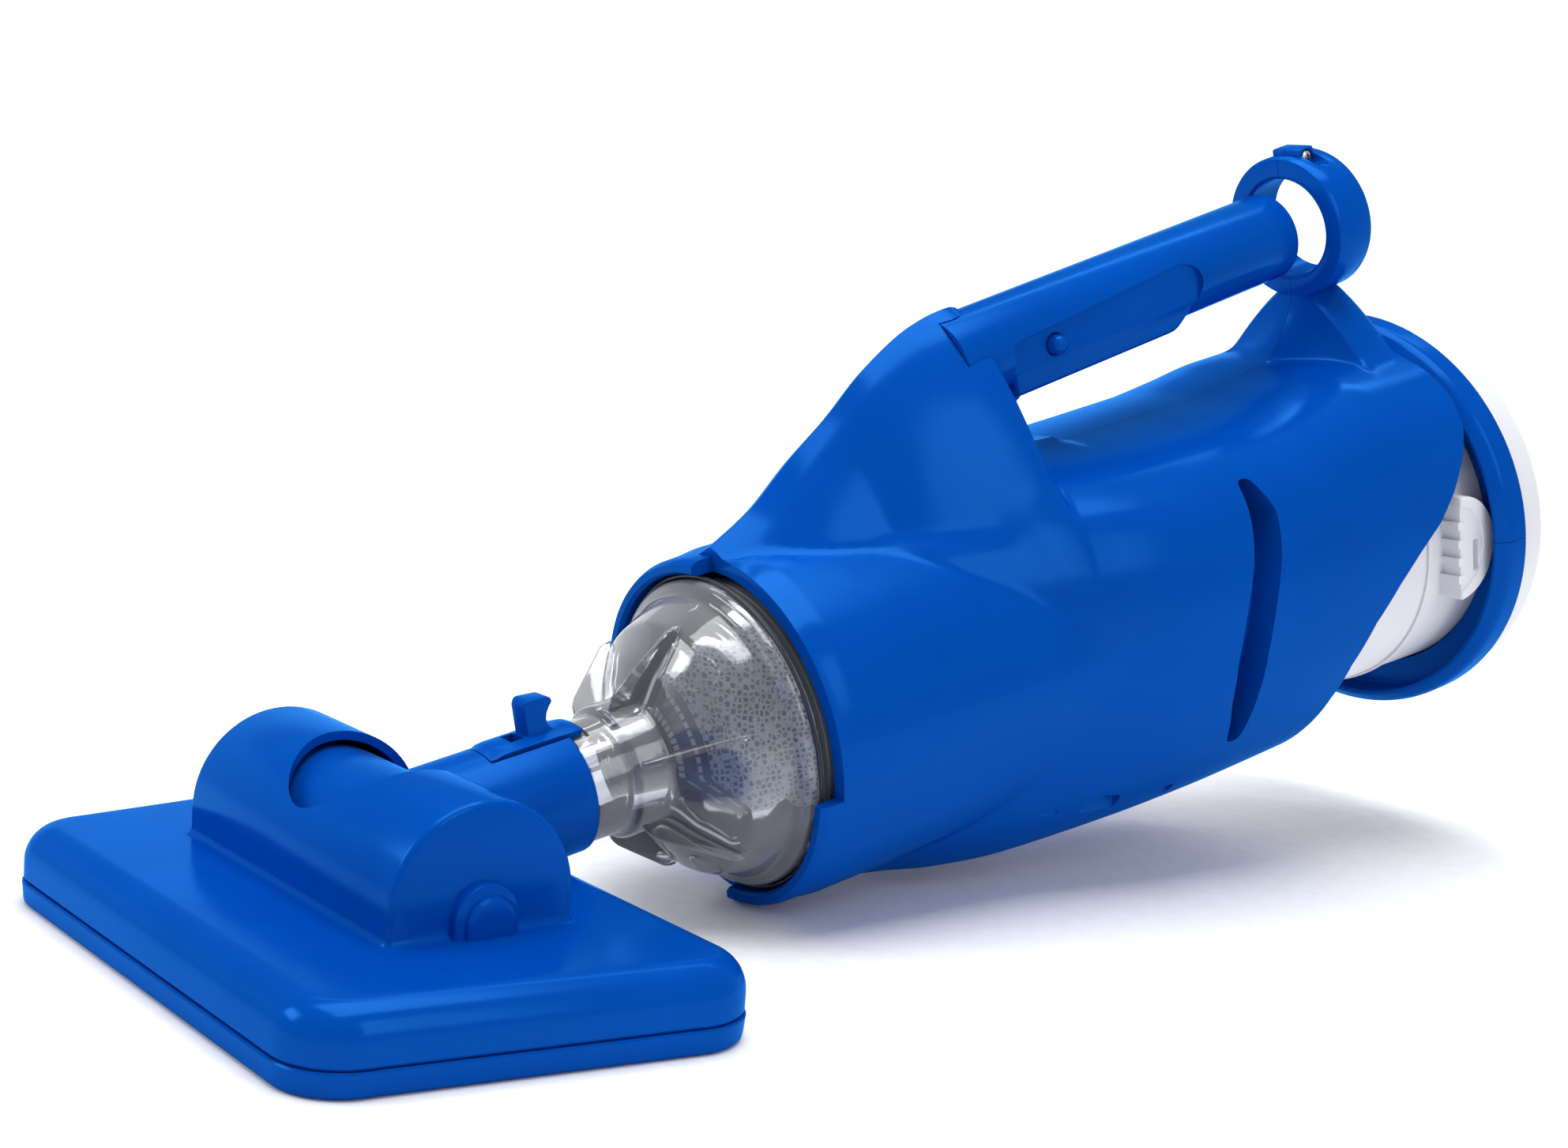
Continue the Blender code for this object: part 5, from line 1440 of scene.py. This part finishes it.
class VACUUM_OT_stage(bpy.types.Operator):
    """Pale floor sweep, soft studio lights and the camera"""

    bl_idname = "vacuum.stage"
    bl_label = "Stage"

    def execute(self, context):
        # a round sweep: flat floor that curves up into a low pale wall on every side
        profile = [(0.0, 0.0), (1.8, 0.0)]
        for i in range(1, 13):
            a = math.radians(7.5 * i)
            profile.append((1.8 + 1.2 * math.sin(a), 1.2 * (1 - math.cos(a))))
        deselect()
        bpy.ops.mesh.primitive_circle_add(vertices=96, radius=profile[1][0], fill_type='NGON')
        floor = bpy.context.object
        floor.name = "floor_sweep"
        bpy.ops.object.mode_set(mode='EDIT')
        bpy.ops.mesh.select_all(action='DESELECT')
        bpy.ops.mesh.select_mode(type='EDGE')
        mesh = bmesh.from_edit_mesh(floor.data)
        for edge in mesh.edges:
            edge.select_set(True)
        bmesh.update_edit_mesh(floor.data)
        for (r0, z0), (r1, z1) in zip(profile[1:], profile[2:]):
            bpy.ops.mesh.extrude_edges_move(TRANSFORM_OT_translate={"value": (0, 0, z1 - z0)})
            bpy.ops.transform.resize(value=(r1 / r0, r1 / r0, 1.0), center_override=(0, 0, z1))
        bpy.ops.mesh.select_all(action='SELECT')
        bpy.ops.mesh.normals_make_consistent(inside=True)
        settle(floor, Matrix.Translation((0, 0.15, -0.0002)))
        shade(floor, 30.0)
        floor.data.materials.append(pale_floor())
        lights = [("overhead_soft_box", (0.0, 0.15, 1.7), (0.0, 0.15, 0.0), 1.3, 1.3, 30.0),
                  ("left_soft_box", (-0.75, -1.15, 0.95), (0.0, 0.1, 0.08), 0.7, 0.5, 8.0),
                  ("right_soft_box", (1.35, 0.35, 0.85), (0.0, 0.2, 0.1), 0.5, 0.9, 4.0),
                  ("wall_wash", (-0.85, 0.85, 1.6), (-2.1, 1.85, 0.1), 1.6, 0.9, 32.0)]
        for name, at, aim, wide, deep, power in lights:
            deselect()
            bpy.ops.object.light_add(type='AREA', location=at)
            lamp = bpy.context.object
            lamp.name = name
            lamp.data.shape = 'RECTANGLE'
            lamp.data.size = wide
            lamp.data.size_y = deep
            lamp.data.energy = power
            lamp.rotation_euler = (Vector(at) - Vector(aim)).to_track_quat('Z', 'Y').to_euler()
        world = bpy.data.worlds.new("soft_studio")
        world.use_nodes = True
        sky = world.node_tree.nodes["Background"]
        sky.inputs["Color"].default_value = (1.0, 1.0, 1.0, 1.0)
        sky.inputs["Strength"].default_value = 0.44
        context.scene.world = world
        context.scene.view_settings.view_transform = 'Standard'
        azimuth, rise, roll = (math.radians(v) for v in (CAMERA_AZIMUTH, CAMERA_ELEVATION, CAMERA_ROLL))
        back = Vector((math.sin(azimuth) * math.cos(rise), -math.cos(azimuth) * math.cos(rise),
                       math.sin(rise)))
        right = Vector((math.cos(azimuth), math.sin(azimuth), 0.0))
        up = back.cross(right)
        level = math.cos(roll) * right + math.sin(roll) * up
        upright = math.cos(roll) * up - math.sin(roll) * right
        turn = Matrix((level, upright, back)).transposed().to_4x4()
        deselect()
        bpy.ops.object.camera_add()
        camera = bpy.context.object
        camera.matrix_world = Matrix.Translation(CAMERA_AT) @ turn
        camera.data.sensor_width = 36.0
        camera.data.lens = LENS
        camera.data.clip_start = 0.01
        context.scene.camera = camera
        return {'FINISHED'}


# ------------------------------------------------------------------------------ add-on

PIECES = (VACUUM_OT_head_cover, VACUUM_OT_head_base, VACUUM_OT_brushes, VACUUM_OT_neck, VACUUM_OT_latch,
          VACUUM_OT_nose, VACUUM_OT_valve, VACUUM_OT_filter, VACUUM_OT_housing, VACUUM_OT_fasteners,
          VACUUM_OT_grip, VACUUM_OT_motor_case, VACUUM_OT_rear_ring, VACUUM_OT_end_cap,
          VACUUM_OT_inner_parts,
          VACUUM_OT_stage)


class VACUUM_PT_pieces(bpy.types.Panel):
    """Sizes, colours and pieces of the pool vacuum"""

    bl_idname = "VACUUM_PT_pieces"
    bl_label = "Pool vacuum"
    bl_space_type = 'VIEW_3D'
    bl_region_type = 'UI'
    bl_category = "Pool vacuum"

    def draw(self, context):
        for group in (sizes(), colours()):
            for key in group.bl_rna.properties.keys():
                if key not in {"rna_type", "name"}:
                    self.layout.prop(group, key)
        for piece in PIECES:
            self.layout.operator(piece.bl_idname)


CLASSES = (VacuumSizes, VacuumColours) + PIECES + (VACUUM_PT_pieces,)


def register():
    for cls in CLASSES:
        bpy.utils.register_class(cls)
    bpy.types.Scene.vacuum_sizes = bpy.props.PointerProperty(type=VacuumSizes)
    bpy.types.Scene.vacuum_colours = bpy.props.PointerProperty(type=VacuumColours)


def unregister():
    del bpy.types.Scene.vacuum_colours
    del bpy.types.Scene.vacuum_sizes
    for cls in reversed(CLASSES):
        bpy.utils.unregister_class(cls)


def main():
    register()
    for piece in PIECES:
        group, name = piece.bl_idname.split(".")
        getattr(getattr(bpy.ops, group), name)()


if __name__ == "__main__":
    main()
